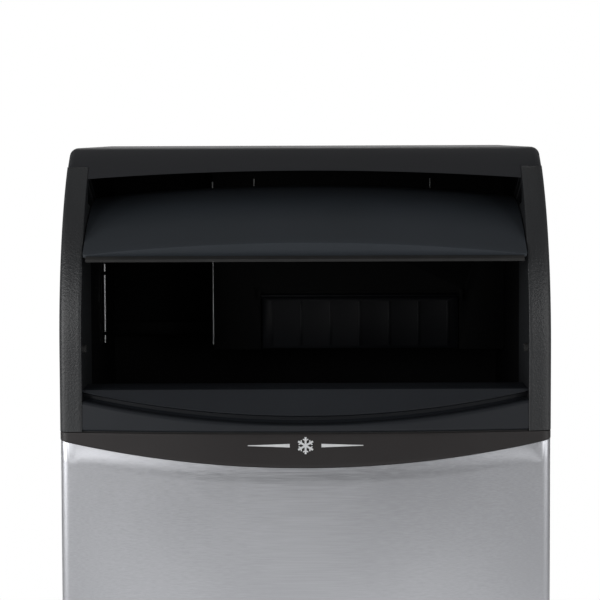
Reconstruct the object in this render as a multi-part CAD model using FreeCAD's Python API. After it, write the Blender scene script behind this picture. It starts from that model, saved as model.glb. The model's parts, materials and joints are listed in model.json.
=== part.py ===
# Undercounter ice machine, 610 mm class, with a lift-up door that slides back under the top cover.
# Millimetres. X right, Y back, Z up. Origin: floor, centre of the plan.
# "s" is the distance behind the front-most plane, so y = s - DEPTH / 2.
import FreeCAD, Part
import math
import os

V = FreeCAD.Vector

# ---------------------------------------------------------------- overall sizes
WIDTH = 610.0
DEPTH = 610.0
HEIGHT = 990.0
LEG_H = 150.0                 # floor to underside of the cabinet

# ---------------------------------------------------------------- front shape
NOSE_R = 290.0                # radius of the curved upper front, seen from the side
NOSE_DROP = 250.0             # top of the cabinet down to the centre of that radius
BOW_SAG = 20.0                # how far the middle of the front stands forward of its ends
CORNER_R = 12.0               # rounded upright edges of the front
SIDE_ROUND = 10.0             # rounding of the cover's and cheeks' front side edges
CHEEK_W = 28.5                # width of one side cheek, seen from the front
CHEEK_BACK = 140.0            # s where the cheek meets the side panel
COVER_SKIRT = 24.0            # height of the top cover above its seam
HEADER_END = 39.0             # top down to the header edge, at its ends
HEADER_MID = 29.0             # the same in the middle, where the edge arches up
SILL_TOP = 298.5              # top down to the sill edge
PARTING = 350.0               # top down to the line between sill and badge trim
SMILE_MID = 393.0             # top down to the lower edge of the badge trim, middle
SMILE_END = 361.0             # the same at the ends
GRILLE_H = 235.0              # height of the lower grille above the cabinet underside
WALL = 4.0                    # moulded wall
SHEET = 1.0                   # steel sheet

# ---------------------------------------------------------------- door and its run
DOOR_GAP = 1.5                # door side to cheek
DOOR_OFF = 1.0                # door face behind the cheek profile
DOOR_BACK = 25.0              # flat back of the door behind the middle of the profile
DOOR_SKIN = 2.0
DOOR_BOTTOM = 291.0           # top of cabinet down to the closed door's lower face
PIVOT_S = 146.0               # pivot rod, door closed
PIVOT_DROP = 46.0             # top of cabinet down to the pivot rod, door closed
TRACK_SLOPE = 22.0            # degrees, falling to the rear
REST_TRAVEL = 169.0           # rod travel from closed to the half-open rest pose
FULL_TRAVEL = 219.0           # rod travel from closed to fully open
TURN_PER_MM = 0.343            # degrees the door turns per millimetre of rod travel
ROD_R = 4.0
RUN_FIT = 0.06                # radial clearance of a turning shaft
SLIDE_FIT = 0.3               # clearance of a sliding shoe
TRACK_T = 8.0                 # thickness of one side track

# ---------------------------------------------------------------- bin and machine space
SIDE_FOAM = 17.5
LINER = 1.5
BIN_FLOOR = 370.0             # inside bottom of the bin above the floor
DECK_T = 18.0                 # insulation under the bin
REAR_FOAM = 45.0
PIPE_SPACE = 18.0             # between rear insulation and rear panel
FRONT_FOAM = 54.0
MODULE_S = 415.0              # front plane of the ice maker
FIT = 0.2                     # gap between fixed parts

# ---------------------------------------------------------------- feet
LEG_R = 19.0
STEM_R = 8.0
FOOT_R = 21.0
LEG_IN_X = 50.0
LEG_IN_S = 60.0

# ---------------------------------------------------------------- sill, badge, switch, track and machine
SILL_EDGE_S = 27.0            # s of the straight upper edge of the sill
CRESC_S = 8.0                 # s of the crescent's lower edge in the middle
CRESC_H = 31.0                # height of the crescent in the middle
CRESC_END = 3.0               # and at its ends
GROOVE_H = 10.0               # finger groove under the crescent
GROOVE_S = 22.0
SILL_BACK = 60.0
EMBLEM_DROP = 365.0           # top of the cabinet down to the middle of the emblem
EMBLEM_R = 10.5
EMBLEM_HW = 71.0
GRILLE_ARCH = 14.0
SHOE_H = 10.0
SHOE_L = 26.0
TRACK_WALL = 4.0
MODULE_X0 = -131.0            # left end of the ice maker
MODULE_DROP = 290.0           # top of the cabinet down to its underside
CURTAIN_X0, CURTAIN_X1, CURTAIN_H = -61.0, 218.0, 81.0
INLET_X, INLET_Z, INLET_R, INLET_BORE = 200.0, 330.0, 13.0, 9.5
DRAIN_X, DRAIN_Z, DRAIN_R, DRAIN_BORE = 60.0, 200.0, 13.0, 9.0
GLAND_X, GLAND_Z, GLAND_R = -60.0, 300.0, 9.0
DRAIN_HOSE_R = 12.0
BIN_DRAIN_S = 440.0
COMP_X, COMP_S = -110.0, 400.0
SCOOP_X, SCOOP_Z = -170.0, 510.0
PROBE_S, PROBE_Z = 347.0, 716.0  # bin level probe on the left wall

# ---------------------------------------------------------------- values worked out from the above
HW = WIDTH / 2
ZC = HEIGHT - NOSE_DROP
OPEN_HW = HW - CHEEK_W
BOW_HALF = HW - 15.0
BOW_R = (BOW_HALF ** 2 + BOW_SAG ** 2) / (2 * BOW_SAG)
Z_SEAM = HEIGHT - COVER_SKIRT
Z_SILL = HEIGHT - SILL_TOP
Z_PART = HEIGHT - PARTING
DOOR_HW = OPEN_HW - DOOR_GAP
LINER_HW = HW - SHEET - 0.5 - SIDE_FOAM - LINER      # inside face of the liner
REAR_IN = DEPTH - SHEET - PIPE_SPACE - REAR_FOAM - LINER
PIVOT_Z = HEIGHT - PIVOT_DROP
DIR_S = math.cos(math.radians(TRACK_SLOPE))
DIR_Z = -math.sin(math.radians(TRACK_SLOPE))
REST_TURN = REST_TRAVEL * TURN_PER_MM
REST_S = PIVOT_S + DIR_S * REST_TRAVEL
REST_Z = PIVOT_Z + DIR_Z * REST_TRAVEL
FRONT_BACK = 32.0 + FRONT_FOAM
SWITCH_X = HW - 60.0
SWITCH_Z = LEG_H + GRILLE_H - 32.0
TRACK_IN = OPEN_HW + 0.5
BIN_DRAIN_X = DRAIN_X
PIPE_HOLES = [(-40.0, HEIGHT - 190.0, 5.0), (150.0, HEIGHT - 190.0, 3.0), (250.0, HEIGHT - 240.0, 3.5)]


def Y(s):
    return s - DEPTH / 2


def bow(x):
    return BOW_R - math.sqrt(BOW_R ** 2 - x * x)


def arc_s(z, off=0.0):
    """s of the side profile at height z, moved in by off."""
    if z <= ZC:
        return off
    return NOSE_R - math.sqrt((NOSE_R - off) ** 2 - (z - ZC) ** 2)


# ---------------------------------------------------------------- shape helpers
def box(x0, x1, s0, s1, z0, z1):
    return Part.makeBox(x1 - x0, s1 - s0, z1 - z0, V(x0, Y(s0), z0))


def cyl_x(r, x0, x1, s, z):
    return Part.makeCylinder(r, x1 - x0, V(x0, Y(s), z), V(1, 0, 0))


def cyl_y(r, s0, s1, x, z):
    return Part.makeCylinder(r, s1 - s0, V(x, Y(s0), z), V(0, 1, 0))


def cyl_z(r, z0, z1, x, s):
    return Part.makeCylinder(r, z1 - z0, V(x, Y(s), z0), V(0, 0, 1))


def tube_z(r, ri, z0, z1, x, s):
    return cyl_z(r, z0, z1, x, s).cut(cyl_z(ri, z0 - 1, z1 + 1, x, s))


def prism_x(pts, x0, x1):
    wire = Part.makePolygon([V(x0, Y(s), z) for s, z in pts + pts[:1]])
    return Part.Face(wire).extrude(V(x1 - x0, 0, 0))


def prism_y(pts, s0, s1):
    wire = Part.makePolygon([V(x, Y(s0), z) for x, z in pts + pts[:1]])
    return Part.Face(wire).extrude(V(0, s1 - s0, 0))


def prism_z(pts, z0, z1):
    wire = Part.makePolygon([V(x, Y(s), z0) for x, s in pts + pts[:1]])
    return Part.Face(wire).extrude(V(0, 0, z1 - z0))


def face_sz(segs, x=0.0):
    """Closed face in the side plane. A segment is a point, or ('arc', through, end)."""
    at = V(x, Y(segs[0][0]), segs[0][1])
    first = at
    edges = []
    for seg in segs[1:] + [segs[0]]:
        if seg[0] == "arc":
            mid, end = (V(x, Y(p[0]), p[1]) for p in seg[1:])
            edges.append(Part.Arc(at, mid, end).toShape())
        else:
            end = V(x, Y(seg[0]), seg[1])
            if end.distanceToPoint(at) > 1e-6:
                edges.append(Part.LineSegment(at, end).toShape())
        at = end
    assert at.distanceToPoint(first) < 1e-6
    return Part.Face(Part.Wire(edges))


def bowed(segs, x0, x1):
    """A side profile carried along the bow of the front, cut square at x0 and x1."""
    axis = V(0, Y(BOW_R), 0)
    face = face_sz(segs)
    face.rotate(axis, V(0, 0, 1), -13)
    solid = face.revolve(axis, V(0, 0, 1), 26)
    return solid.common(box(x0, x1, -60, DEPTH, -10, HEIGHT + 10))


def straight(segs, x0, x1):
    return face_sz(segs, x0).extrude(V(x1 - x0, 0, 0))


def on_arc(off, deg):
    a = math.radians(deg)
    return (NOSE_R - (NOSE_R - off) * math.cos(a), ZC + (NOSE_R - off) * math.sin(a))


def band(off0, off1, z0, deg1):
    """Layer between two offsets of the side profile, from height z0 up to an arc angle."""
    return [(off0, z0), (off0, ZC), ("arc", on_arc(off0, deg1 / 2), on_arc(off0, deg1)),
            on_arc(off1, deg1), ("arc", on_arc(off1, deg1 / 2), (off1, ZC)), (off1, z0)]


def fill_from(off, z0, z1, s_back):
    """Side profile region behind an offset, from z0 to z1 and back to s_back."""
    top = math.degrees(math.asin((z1 - ZC) / (NOSE_R - off)))
    return [(off, z0), (off, ZC), ("arc", on_arc(off, top / 2), on_arc(off, top)),
            (s_back, z1), (s_back, z0)]


def under_arc(z_end, z_mid, half, s0, s1, z_low):
    """Block whose upper face is an arc across the width: z_mid in the middle, z_end at +-half."""
    a, b, c = V(-half, Y(s0), z_end), V(0, Y(s0), z_mid), V(half, Y(s0), z_end)
    edges = [Part.Arc(a, b, c).toShape(),
             Part.LineSegment(c, V(half, Y(s0), z_low)).toShape(),
             Part.LineSegment(V(half, Y(s0), z_low), V(-half, Y(s0), z_low)).toShape(),
             Part.LineSegment(V(-half, Y(s0), z_low), a).toShape()]
    return Part.Face(Part.Wire(edges)).extrude(V(0, s1 - s0, 0))


def plan_block(off, z0, z1, s_back):
    """Upright block with the bowed front and rounded front edges, moved in by off."""
    hw = HW - off
    a, b, c = V(-hw, Y(bow(HW) + off), z0), V(0, Y(off), z0), V(hw, Y(bow(HW) + off), z0)
    edges = [Part.Arc(a, b, c).toShape(),
             Part.LineSegment(c, V(hw, Y(s_back), z0)).toShape(),
             Part.LineSegment(V(hw, Y(s_back), z0), V(-hw, Y(s_back), z0)).toShape(),
             Part.LineSegment(V(-hw, Y(s_back), z0), a).toShape()]
    block = Part.Face(Part.Wire(edges)).extrude(V(0, 0, z1 - z0))
    keep = [e for e in block.Edges
            if abs(e.BoundBox.ZLength - (z1 - z0)) < 1e-6 and e.BoundBox.YMax < Y(bow(HW) + off) + 1]
    return block.makeFillet(CORNER_R - off, keep)


def plan_shell(off0, off1, z0, z1, s_back):
    return plan_block(off0, z0, z1, s_back).cut(plan_block(off1, z0 - 1, z1 + 1, s_back + 1))


def pipe(points, r):
    """Round pipe through points given as (x, s, z), with ball corners."""
    pts = []
    for x, s, z in points:
        p = V(x, Y(s), z)
        if not pts or p.distanceToPoint(pts[-1]) > 1e-6:
            pts.append(p)
    out = None
    for a, b in zip(pts, pts[1:]):
        leg = Part.makeCylinder(r, a.distanceToPoint(b), a, b.sub(a))
        out = leg if out is None else out.fuse(leg)
    for p in pts[1:-1]:
        out = out.fuse(Part.makeSphere(r, p))
    return out.removeSplitter()


def fuse(first, *rest):
    for shape in rest:
        first = first.fuse(shape)
    return first.removeSplitter()


def mirror(shape):
    return shape.mirror(V(0, 0, 0), V(1, 0, 0))


PARTS = {}


def keep(name, shape):
    PARTS[name] = shape


def group(name, *members):
    """Pieces of one kind that are stored together as one node."""
    solids = []
    for member in members:
        solids += PARTS.pop(member).Solids
    PARTS[name] = Part.makeCompound(solids)


# ---------------------------------------------------------------- cabinet shell
def base_pan():
    pan = box(-HW + 2, HW - 2, 36, DEPTH - 2, LEG_H, LEG_H + 26)
    pan = pan.cut(box(-HW + 3.2, HW - 3.2, 37.2, DEPTH - 3.2, LEG_H + 1.2, LEG_H + 30))
    pan = pan.cut(box(-150, 150, 20, 40, LEG_H + 8, LEG_H + 40))
    keep("base_pan", pan)


def side_panels():
    s0 = 34.4
    pts = [(s0, LEG_H), (s0, Z_PART - FIT), (CHEEK_BACK + FIT, Z_PART - FIT),
           (CHEEK_BACK + FIT, Z_SEAM - FIT), (DEPTH - SHEET - FIT, Z_SEAM - FIT),
           (DEPTH - SHEET - FIT, LEG_H)]
    sheet = prism_x(pts, HW - SHEET, HW)
    flange = box(HW - 16, HW - SHEET, DEPTH - SHEET * 2 - FIT, DEPTH - SHEET - FIT,
                 LEG_H + 30, Z_SEAM - 4)
    right = fuse(sheet, flange)
    keep("side_panel_right", right)
    keep("side_panel_left", mirror(right))


def rear_panel():
    s0, s1 = DEPTH - SHEET, DEPTH
    panel = box(-HW + 0.5, HW - 0.5, s0, s1, LEG_H + 2, Z_SEAM - FIT)
    for col in (-1, 1):
        for row in range(8):
            z = LEG_H + 34 + row * 16
            x = col * 170
            panel = panel.cut(box(x - 70, x + 70, s0 - 1, s1 + 1, z, z + 6))
    panel = panel.cut(cyl_y(INLET_R + 1.0, s0 - 1, s1 + 1, INLET_X, INLET_Z))
    panel = panel.cut(cyl_y(DRAIN_R + 1.0, s0 - 1, s1 + 1, DRAIN_X, DRAIN_Z))
    panel = panel.cut(cyl_y(GLAND_R + 0.5, s0 - 1, s1 + 1, GLAND_X, GLAND_Z))
    keep("rear_panel", panel)


def insulation():
    x0, x1 = LINER_HW + LINER, LINER_HW + LINER + SIDE_FOAM
    rear0, rear1 = REAR_IN + LINER, REAR_IN + LINER + REAR_FOAM
    front1 = FRONT_BACK
    z0, zt = BIN_FLOOR - LINER - DECK_T, Z_SEAM - 2
    boards = [box(x0, x1, front1, rear1, z0, Z_PART - 1), box(x0, x1, CHEEK_BACK + 3, rear1, Z_PART - 1, zt)]
    boards += [mirror(b) for b in boards]
    boards.append(box(-x0, x0, front1, rear0, z0, z0 + DECK_T))
    rear = box(-x0, x0, rear0, rear1, z0, zt)
    for x, z, r in PIPE_HOLES:
        rear = rear.cut(cyl_y(r + 1.5, rear0 - 1, rear1 + 1, x, z))
    boards.append(rear)
    boards.append(box(-x0, x0, front1 - FRONT_FOAM, front1, z0, Z_PART - 1))
    boards.append(box(-OPEN_HW, OPEN_HW, SILL_BACK + 0.3, front1, Z_PART - 1, Z_SILL - WALL - 2))
    boards[4] = boards[4].cut(cyl_z(DRAIN_HOSE_R + 1.5, z0 - 1, z0 + DECK_T + 1, BIN_DRAIN_X, BIN_DRAIN_S))
    keep("bin_insulation", Part.makeCompound(boards))
    keep("roof_insulation", box(-HW + WALL + 2, HW - WALL - 2, 172, DEPTH - WALL - 2,
                                Z_SEAM + 5, HEIGHT - WALL - 0.5))


def bin_liner():
    x = LINER_HW
    f = FRONT_BACK
    z_top = Z_SEAM - 2
    parts = [box(-x - LINER, x + LINER, f, REAR_IN + LINER, BIN_FLOOR - LINER, BIN_FLOOR),
             box(-x - LINER, x + LINER, REAR_IN, REAR_IN + LINER, BIN_FLOOR, z_top),
             box(-x, x, f, f + LINER, BIN_FLOOR, Z_PART - 1),
             box(-OPEN_HW, OPEN_HW, f, f + LINER, Z_PART - 1, Z_SILL - WALL - 2)]
    for sx in (-1, 1):
        a, b = sorted((sx * x, sx * (x + LINER)))
        parts.append(box(a, b, f, REAR_IN, BIN_FLOOR, Z_PART - 1))
        parts.append(box(a, b, CHEEK_BACK + 3, REAR_IN, Z_PART - 1, z_top))
    liner = fuse(*parts)
    for px, pz, r in PIPE_HOLES:
        liner = liner.cut(cyl_y(r + 1.5, REAR_IN - 1, REAR_IN + LINER + 1, px, pz))
    liner = liner.cut(cyl_z(DRAIN_HOSE_R + 1.5, BIN_FLOOR - LINER - 1, BIN_FLOOR + 1,
                            BIN_DRAIN_X, BIN_DRAIN_S))
    keep("bin_liner", liner)


def round_sides(shape, s_end):
    """Round the two front side edges, which follow the profile, by the same radius as the cheeks."""
    edges = [e for e in shape.Edges
             if (e.BoundBox.XMin > HW - 0.01 or e.BoundBox.XMax < -HW + 0.01)
             and e.BoundBox.YMax < Y(s_end) + 22 and e.BoundBox.ZLength > 5]
    try:
        rounded = shape.makeFillet(SIDE_ROUND, edges)
        if rounded.isValid() and rounded.Volume > 0.8 * shape.Volume:
            return rounded
    except Exception:
        pass
    return shape


def top_cover():
    r = 20.0
    dz = NOSE_DROP - r
    cs = NOSE_R - math.sqrt((NOSE_R - r) ** 2 - dz ** 2)
    k = NOSE_R / (NOSE_R - r)
    tangent = (NOSE_R + (cs - NOSE_R) * k, ZC + dz * k)
    t_ang = math.degrees(math.asin((tangent[1] - ZC) / NOSE_R))
    z_low = HEIGHT - 60
    low_ang = math.degrees(math.asin((z_low - ZC) / NOSE_R))
    a_mid = math.radians((t_ang + 90) / 2)
    mid = (cs - r * math.cos(a_mid), HEIGHT - r + r * math.sin(a_mid))
    far = DEPTH + 40
    outer = bowed([on_arc(0, low_ang), ("arc", on_arc(0, (low_ang + t_ang) / 2), tangent),
                   ("arc", mid, (cs, HEIGHT)), (far, HEIGHT), (far, z_low)], -HW, HW)
    t = WALL - 1.0
    ti = math.degrees(math.asin((HEIGHT - t - ZC) / (NOSE_R - t)))
    li = math.degrees(math.asin((z_low - 5 - ZC) / (NOSE_R - t)))
    inner = bowed([on_arc(t, li), ("arc", on_arc(t, (li + ti) / 2), on_arc(t, ti)),
                   (far, HEIGHT - t), (far, z_low - 5)], -HW + t + 2, HW - t - 2)
    outer = round_sides(outer, cs + 1)
    inner = inner.cut(box(-HW, HW, DEPTH - t, DEPTH + 1, 0, HEIGHT + 5))
    q = CORNER_R
    corner = [(-HW, 0.0), (-HW, HEIGHT - q)]
    corner += [(-HW + q - q * math.cos(math.radians(a)), HEIGHT - q + q * math.sin(math.radians(a)))
               for a in range(9, 90, 9)]
    corner += [(-HW + q, HEIGHT)]
    corner += [(-x, z) for x, z in reversed(corner)]
    outer = outer.common(prism_y(corner, -60, DEPTH))
    cover = outer.cut(inner)
    cover = cover.cut(box(-HW - 1, -OPEN_HW + FIT, -60, DEPTH + 1, 0, Z_SEAM))
    cover = cover.cut(box(OPEN_HW - FIT, HW + 1, -60, DEPTH + 1, 0, Z_SEAM))
    cover = cover.cut(box(-HW, HW, 180, DEPTH + 1, 0, Z_SEAM))
    cover = cover.cut(under_arc(HEIGHT - HEADER_END, HEIGHT - HEADER_MID, OPEN_HW, -60, DEPTH, 0))
    keep("top_cover", cover)


def cheeks():
    shape = bowed(fill_from(0, Z_PART, Z_SEAM - FIT, 260), OPEN_HW, HW)
    shape = shape.common(box(0, HW + 1, -60, CHEEK_BACK, 0, HEIGHT))
    shape = round_sides(shape, CHEEK_BACK - 23)
    pocket = bowed(fill_from(WALL, Z_PART + WALL, Z_SEAM - FIT - WALL, 260), OPEN_HW + WALL, HW - WALL)
    shape = shape.cut(pocket.common(box(0, HW, -60, CHEEK_BACK + 1, 0, HEIGHT)))
    shape = shape.cut(track_block(FIT, 2.0))
    keep("cheek_right", shape)
    keep("cheek_left", mirror(shape))


def sill_bezel():
    hw = OPEN_HW - FIT
    r = 4.0
    face = 1.0
    zb = Z_PART + 0.6
    outer = bowed([(face + r, zb), (SILL_BACK, zb), (SILL_BACK, Z_SILL), (face, Z_SILL),
                   (face, zb + r), ("arc", (face + r * 0.293, zb + r * 0.293), (face + r, zb))], -hw, hw)
    outer = outer.common(box(-hw, hw, -20, SILL_BACK, 0, HEIGHT))
    # everything ahead of the sloping plane and above the crescent's lower edge
    top, low = (SILL_EDGE_S, Z_SILL), (CRESC_S, Z_SILL - CRESC_H)
    slope = (top[0] - low[0]) / CRESC_H
    ahead = prism_x([(-40, Z_SILL + 5), (top[0] + 5 * slope, Z_SILL + 5),
                     (top[0] - (CRESC_H + 12) * slope, Z_SILL - CRESC_H - 12),
                     (-40, Z_SILL - CRESC_H - 12)], -hw - 1, hw + 1)
    z_end = Z_SILL - CRESC_END
    z_mid = Z_SILL - CRESC_H
    below = under_arc(z_end, z_mid, OPEN_HW, -60, 200, 0)
    shape = outer.cut(ahead.cut(below))
    # the finger groove under the crescent
    g = GROOVE_H
    strip = under_arc(z_end, z_mid, OPEN_HW, -60, 200, 0).cut(
        under_arc(z_end - g, z_mid - g, OPEN_HW, -60, 200, 0))
    reach = bowed([(-30, 0), (GROOVE_S, 0), (GROOVE_S, HEIGHT), (-30, HEIGHT)], -hw - 1, hw + 1)
    shape = shape.cut(strip.common(reach))
    # the shoulder below the groove falls away in three short steps of a round
    for depth, drop in ((5.0, 1.2), (3.0, 2.8), (1.2, 5.0)):
        shoulder = under_arc(z_end - g, z_mid - g, OPEN_HW, -60, 200, 0).cut(
            under_arc(z_end - g - drop, z_mid - g - drop, OPEN_HW, -60, 200, 0))
        skin = bowed([(-30, 0), (face + depth, 0), (face + depth, HEIGHT), (-30, HEIGHT)], -hw - 1, hw + 1)
        shape = shape.cut(shoulder.common(skin))
    pocket = bowed([(GROOVE_S + 4, zb + WALL), (SILL_BACK + 30, zb + WALL),
                    (SILL_BACK + 30, Z_SILL - WALL), (GROOVE_S + 4, Z_SILL - WALL)], -hw + WALL, hw - WALL)
    shape = shape.cut(pocket)
    top_lip = box(-hw, hw, SILL_BACK, FRONT_BACK + LINER + 2, Z_SILL - WALL, Z_SILL)
    turn = box(-hw, hw, FRONT_BACK + LINER, FRONT_BACK + LINER + 2, Z_SILL - 20, Z_SILL)
    keep("sill_bezel", fuse(shape, top_lip, turn))


def badge_trim():
    shell = plan_shell(0.0, 3.0, Z_PART - 60, Z_PART - 0.6, 34.0)
    shell = shell.cut(under_arc(HEIGHT - SMILE_END, HEIGHT - SMILE_MID, HW + 0.5, -60, 200, 0))
    z = HEIGHT - EMBLEM_DROP
    arm = []
    for k in range(6):
        a = math.radians(60 * k + 30)
        c, s = math.cos(a), math.sin(a)
        w, ln = 1.2, EMBLEM_R
        arm.append(prism_y([(ln * c - w * s, z + ln * s + w * c), (ln * c + w * s, z + ln * s - w * c),
                            (w * s, z - w * c), (-w * s, z + w * c)], -10, 10))
        for side in (-1, 1):
            b = a + side * math.radians(60)
            px, pz = ln * 0.58 * c, z + ln * 0.58 * s
            cb, sb, m = math.cos(b), math.sin(b), ln * 0.36
            arm.append(prism_y([(px + m * cb - 0.7 * sb, pz + m * sb + 0.7 * cb),
                                (px + m * cb + 0.7 * sb, pz + m * sb - 0.7 * cb),
                                (px + 0.7 * sb, pz - 0.7 * cb), (px - 0.7 * sb, pz + 0.7 * cb)], -10, 10))
    for side in (-1, 1):
        arm.append(prism_y([(side * (EMBLEM_R + 9), z + 2.2), (side * EMBLEM_HW, z + 0.4),
                            (side * EMBLEM_HW, z - 0.4), (side * (EMBLEM_R + 9), z - 2.2)], -10, 10))
    skin = bowed([(0.0, z - 30), (0.0, z + 30), (0.8, z + 30), (0.8, z - 30)], -100, 100)
    crystal = fuse(*arm[:18]).common(skin)
    emblem = Part.makeCompound([crystal, arm[18].common(skin), arm[19].common(skin)])
    keep("badge_emblem", emblem)
    keep("badge_trim", shell.cut(emblem))


def front_panel():
    zt = HEIGHT - SMILE_END
    shell = plan_shell(0.8, 0.8 + SHEET, LEG_H + GRILLE_H - 30, zt, 34.0)
    drop = 0.25
    shell = shell.common(under_arc(HEIGHT - SMILE_END - drop, HEIGHT - SMILE_MID - drop,
                                   HW + 0.5, -60, 200, 0))
    z0 = LEG_H + GRILLE_H
    shell = shell.cut(under_arc(z0 - GRILLE_ARCH + 0.5, z0 + 0.5, HW + 0.5, -60, 200, 0))
    keep("front_panel", shell)


def front_grille():
    z0, z1 = LEG_H + 3, LEG_H + GRILLE_H
    slab = plan_shell(0.8, 9.0, z0, z1 + 1, 34.0)
    slab = slab.common(under_arc(z1 - GRILLE_ARCH, z1, HW + 0.5, -60, 200, 0))
    cols = 3
    x_half = HW - 32
    w = (2 * x_half - (cols - 1) * 10) / cols
    rows = int((GRILLE_H - 70) / 17)
    tools = []
    for i in range(cols):
        xa = -x_half + i * (w + 10)
        for j in range(rows):
            z = z0 + 22 + j * 17
            tools.append(prism_x([(-6, z - 4), (34, z + 9), (34, z + 17), (-6, z + 4)], xa, xa + w))
    slab = slab.cut(Part.makeCompound(tools))
    # switch opening at the right end, above the louvres
    slab = slab.cut(box(SWITCH_X - 12.3, SWITCH_X + 12.3, -10, 40, SWITCH_Z - 7.8, SWITCH_Z + 7.8))
    keep("front_grille", slab)


# ---------------------------------------------------------------- door run
def path(travel, along=0.0, up=0.0):
    """Point on the run of the rod; along follows the run, up is square to it."""
    t = travel + along
    return (PIVOT_S + DIR_S * t - DIR_Z * up, PIVOT_Z + DIR_Z * t + DIR_S * up)


def track_block(grow, reach=0.0):
    h = SHOE_H / 2 + SLIDE_FIT + TRACK_WALL + grow
    e = SHOE_L / 2 + TRACK_WALL + 2 + grow
    pts = [path(0, -e, -h), path(FULL_TRAVEL, e, -h), path(FULL_TRAVEL, e, h), path(0, -e, h)]
    return prism_x(pts, TRACK_IN - grow - reach, LINER_HW)


def tracks():
    block = track_block(0)
    h = SHOE_H / 2 + SLIDE_FIT
    e = SHOE_L / 2 + SLIDE_FIT
    pts = [path(0, -e, -h), path(FULL_TRAVEL, e, -h), path(FULL_TRAVEL, e, h), path(0, -e, h)]
    slot = prism_x(pts, TRACK_IN - 1, LINER_HW - 1.5)
    right = block.cut(slot)
    keep("door_track_right", right)
    keep("door_track_left", mirror(right))


def carriage():
    x1 = LINER_HW - 1.5 - SLIDE_FIT
    x0 = TRACK_IN + 0.8
    rod = cyl_x(ROD_R, -x1 + 1.0, x1 - 1.0, REST_S, REST_Z)
    keep("pivot_rod", rod)
    h, e = SHOE_H / 2, SHOE_L / 2
    pts = [path(REST_TRAVEL, -e, -h), path(REST_TRAVEL, e, -h), path(REST_TRAVEL, e, h),
           path(REST_TRAVEL, -e, h)]
    shoe = prism_x(pts, x0, x1).cut(cyl_x(ROD_R, x0 - 1, x1 - 1.0, REST_S, REST_Z))
    keep("slide_shoe_right", shoe)
    keep("slide_shoe_left", mirror(shoe))


def to_rest(shape):
    """Carry a door part from the closed pose to the half-open rest pose."""
    out = shape.copy()
    out.rotate(V(0, Y(PIVOT_S), PIVOT_Z), V(1, 0, 0), -REST_TURN)
    out.translate(V(0, REST_S - PIVOT_S, REST_Z - PIVOT_Z))
    return out


def door():
    hw = DOOR_HW
    zb = HEIGHT - DOOR_BOTTOM
    k = DOOR_SKIN
    top_deg = 52.0
    arch = under_arc(HEIGHT - HEADER_END - 6, HEIGHT - HEADER_MID - 6, OPEN_HW, -60, 300, 0)
    face = bowed(band(DOOR_OFF, NOSE_R * 0.45, zb, top_deg), -hw, hw)
    back = straight(band(DOOR_OFF - 60, DOOR_BACK, zb, top_deg), -hw, hw)
    lens = face.common(back).common(arch)
    core_out = bowed(band(DOOR_OFF + k, NOSE_R * 0.45, zb + k, top_deg), -hw + k, hw - k)
    arch_in = under_arc(HEIGHT - HEADER_END - 6 - k, HEIGHT - HEADER_MID - 6 - k, OPEN_HW, -60, 300, 0)
    core = core_out.common(straight(band(DOOR_OFF - 60, DOOR_BACK + 1, zb, top_deg), -hw + k, hw - k))
    core = core.common(arch_in)
    outer = lens.cut(core)
    tongue = straight(band(DOOR_BACK - 9, DOOR_BACK - 1, zb, 53.5), -hw + k, hw - k)
    tongue = tongue.cut(straight(band(-60, 60, zb - 5, 46.0), -hw, hw)).cut(arch)
    core = lens.cut(outer)
    inner = core.common(straight(band(DOOR_BACK - k, DOOR_BACK + 1, zb, top_deg), -hw, hw))
    foam = core.cut(inner)
    bosses = []
    s, z, q = PIVOT_S, PIVOT_Z, ROD_R + RUN_FIT
    for x0, x1 in ((hw - 16, hw - k), (hw - 62, hw - 48)):
        lug = cyl_x(ROD_R + 4.5, x0, x1, s, z)
        foot = prism_x([on_arc(DOOR_BACK - 3, 50.0), on_arc(DOOR_BACK - 3, 36.0), (s + 5.5, z - 6.0),
                        (s + 8.0, z + 2.0)], x0, x1)
        foot = foot.cut(straight(band(-80, DOOR_BACK, zb - 5, 60), x0 - 1, x1 + 1))
        bosses += [lug.fuse(foot)]
    bosses += [mirror(b) for b in bosses]
    lugs = fuse(*bosses).cut(cyl_x(q, -HW, HW, s, z))
    tongue = tongue.cut(cyl_x(ROD_R + 5.5, -HW, HW, s, z))
    outer = outer.cut(cyl_x(ROD_R + 5.5, -HW, HW, s, z))
    lugs = lugs.cut(outer).cut(tongue)
    clear = cyl_x(ROD_R + 1.0, -HW, HW, s, z)
    inner = inner.cut(clear)
    foam = foam.cut(clear).cut(lugs).cut(tongue)
    inner = inner.cut(outer).cut(tongue)
    inner = fuse(inner, lugs)
    outer = fuse(outer, tongue)
    foam = foam.cut(inner).cut(outer)
    keep("door_outer", to_rest(outer))
    keep("door_inner", to_rest(inner))
    keep("door_foam", to_rest(foam))
    seal = box(-hw + 4, hw - 4, DOOR_BACK - 4.5, DOOR_BACK - 0.5, Z_SILL + 0.5, zb)
    keep("door_seal", to_rest(seal))


def bumpers():
    z, s = ZC + 2, DOOR_BACK + 3.0
    right = fuse(cyl_x(5.0, OPEN_HW - 4.5, OPEN_HW, s + 5, z), cyl_x(2.2, OPEN_HW, OPEN_HW + WALL, s + 5, z))
    PARTS["cheek_right"] = PARTS["cheek_right"].cut(right)
    PARTS["cheek_left"] = PARTS["cheek_left"].cut(mirror(right))
    keep("door_bumpers", Part.makeCompound([right, mirror(right)]))


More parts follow.
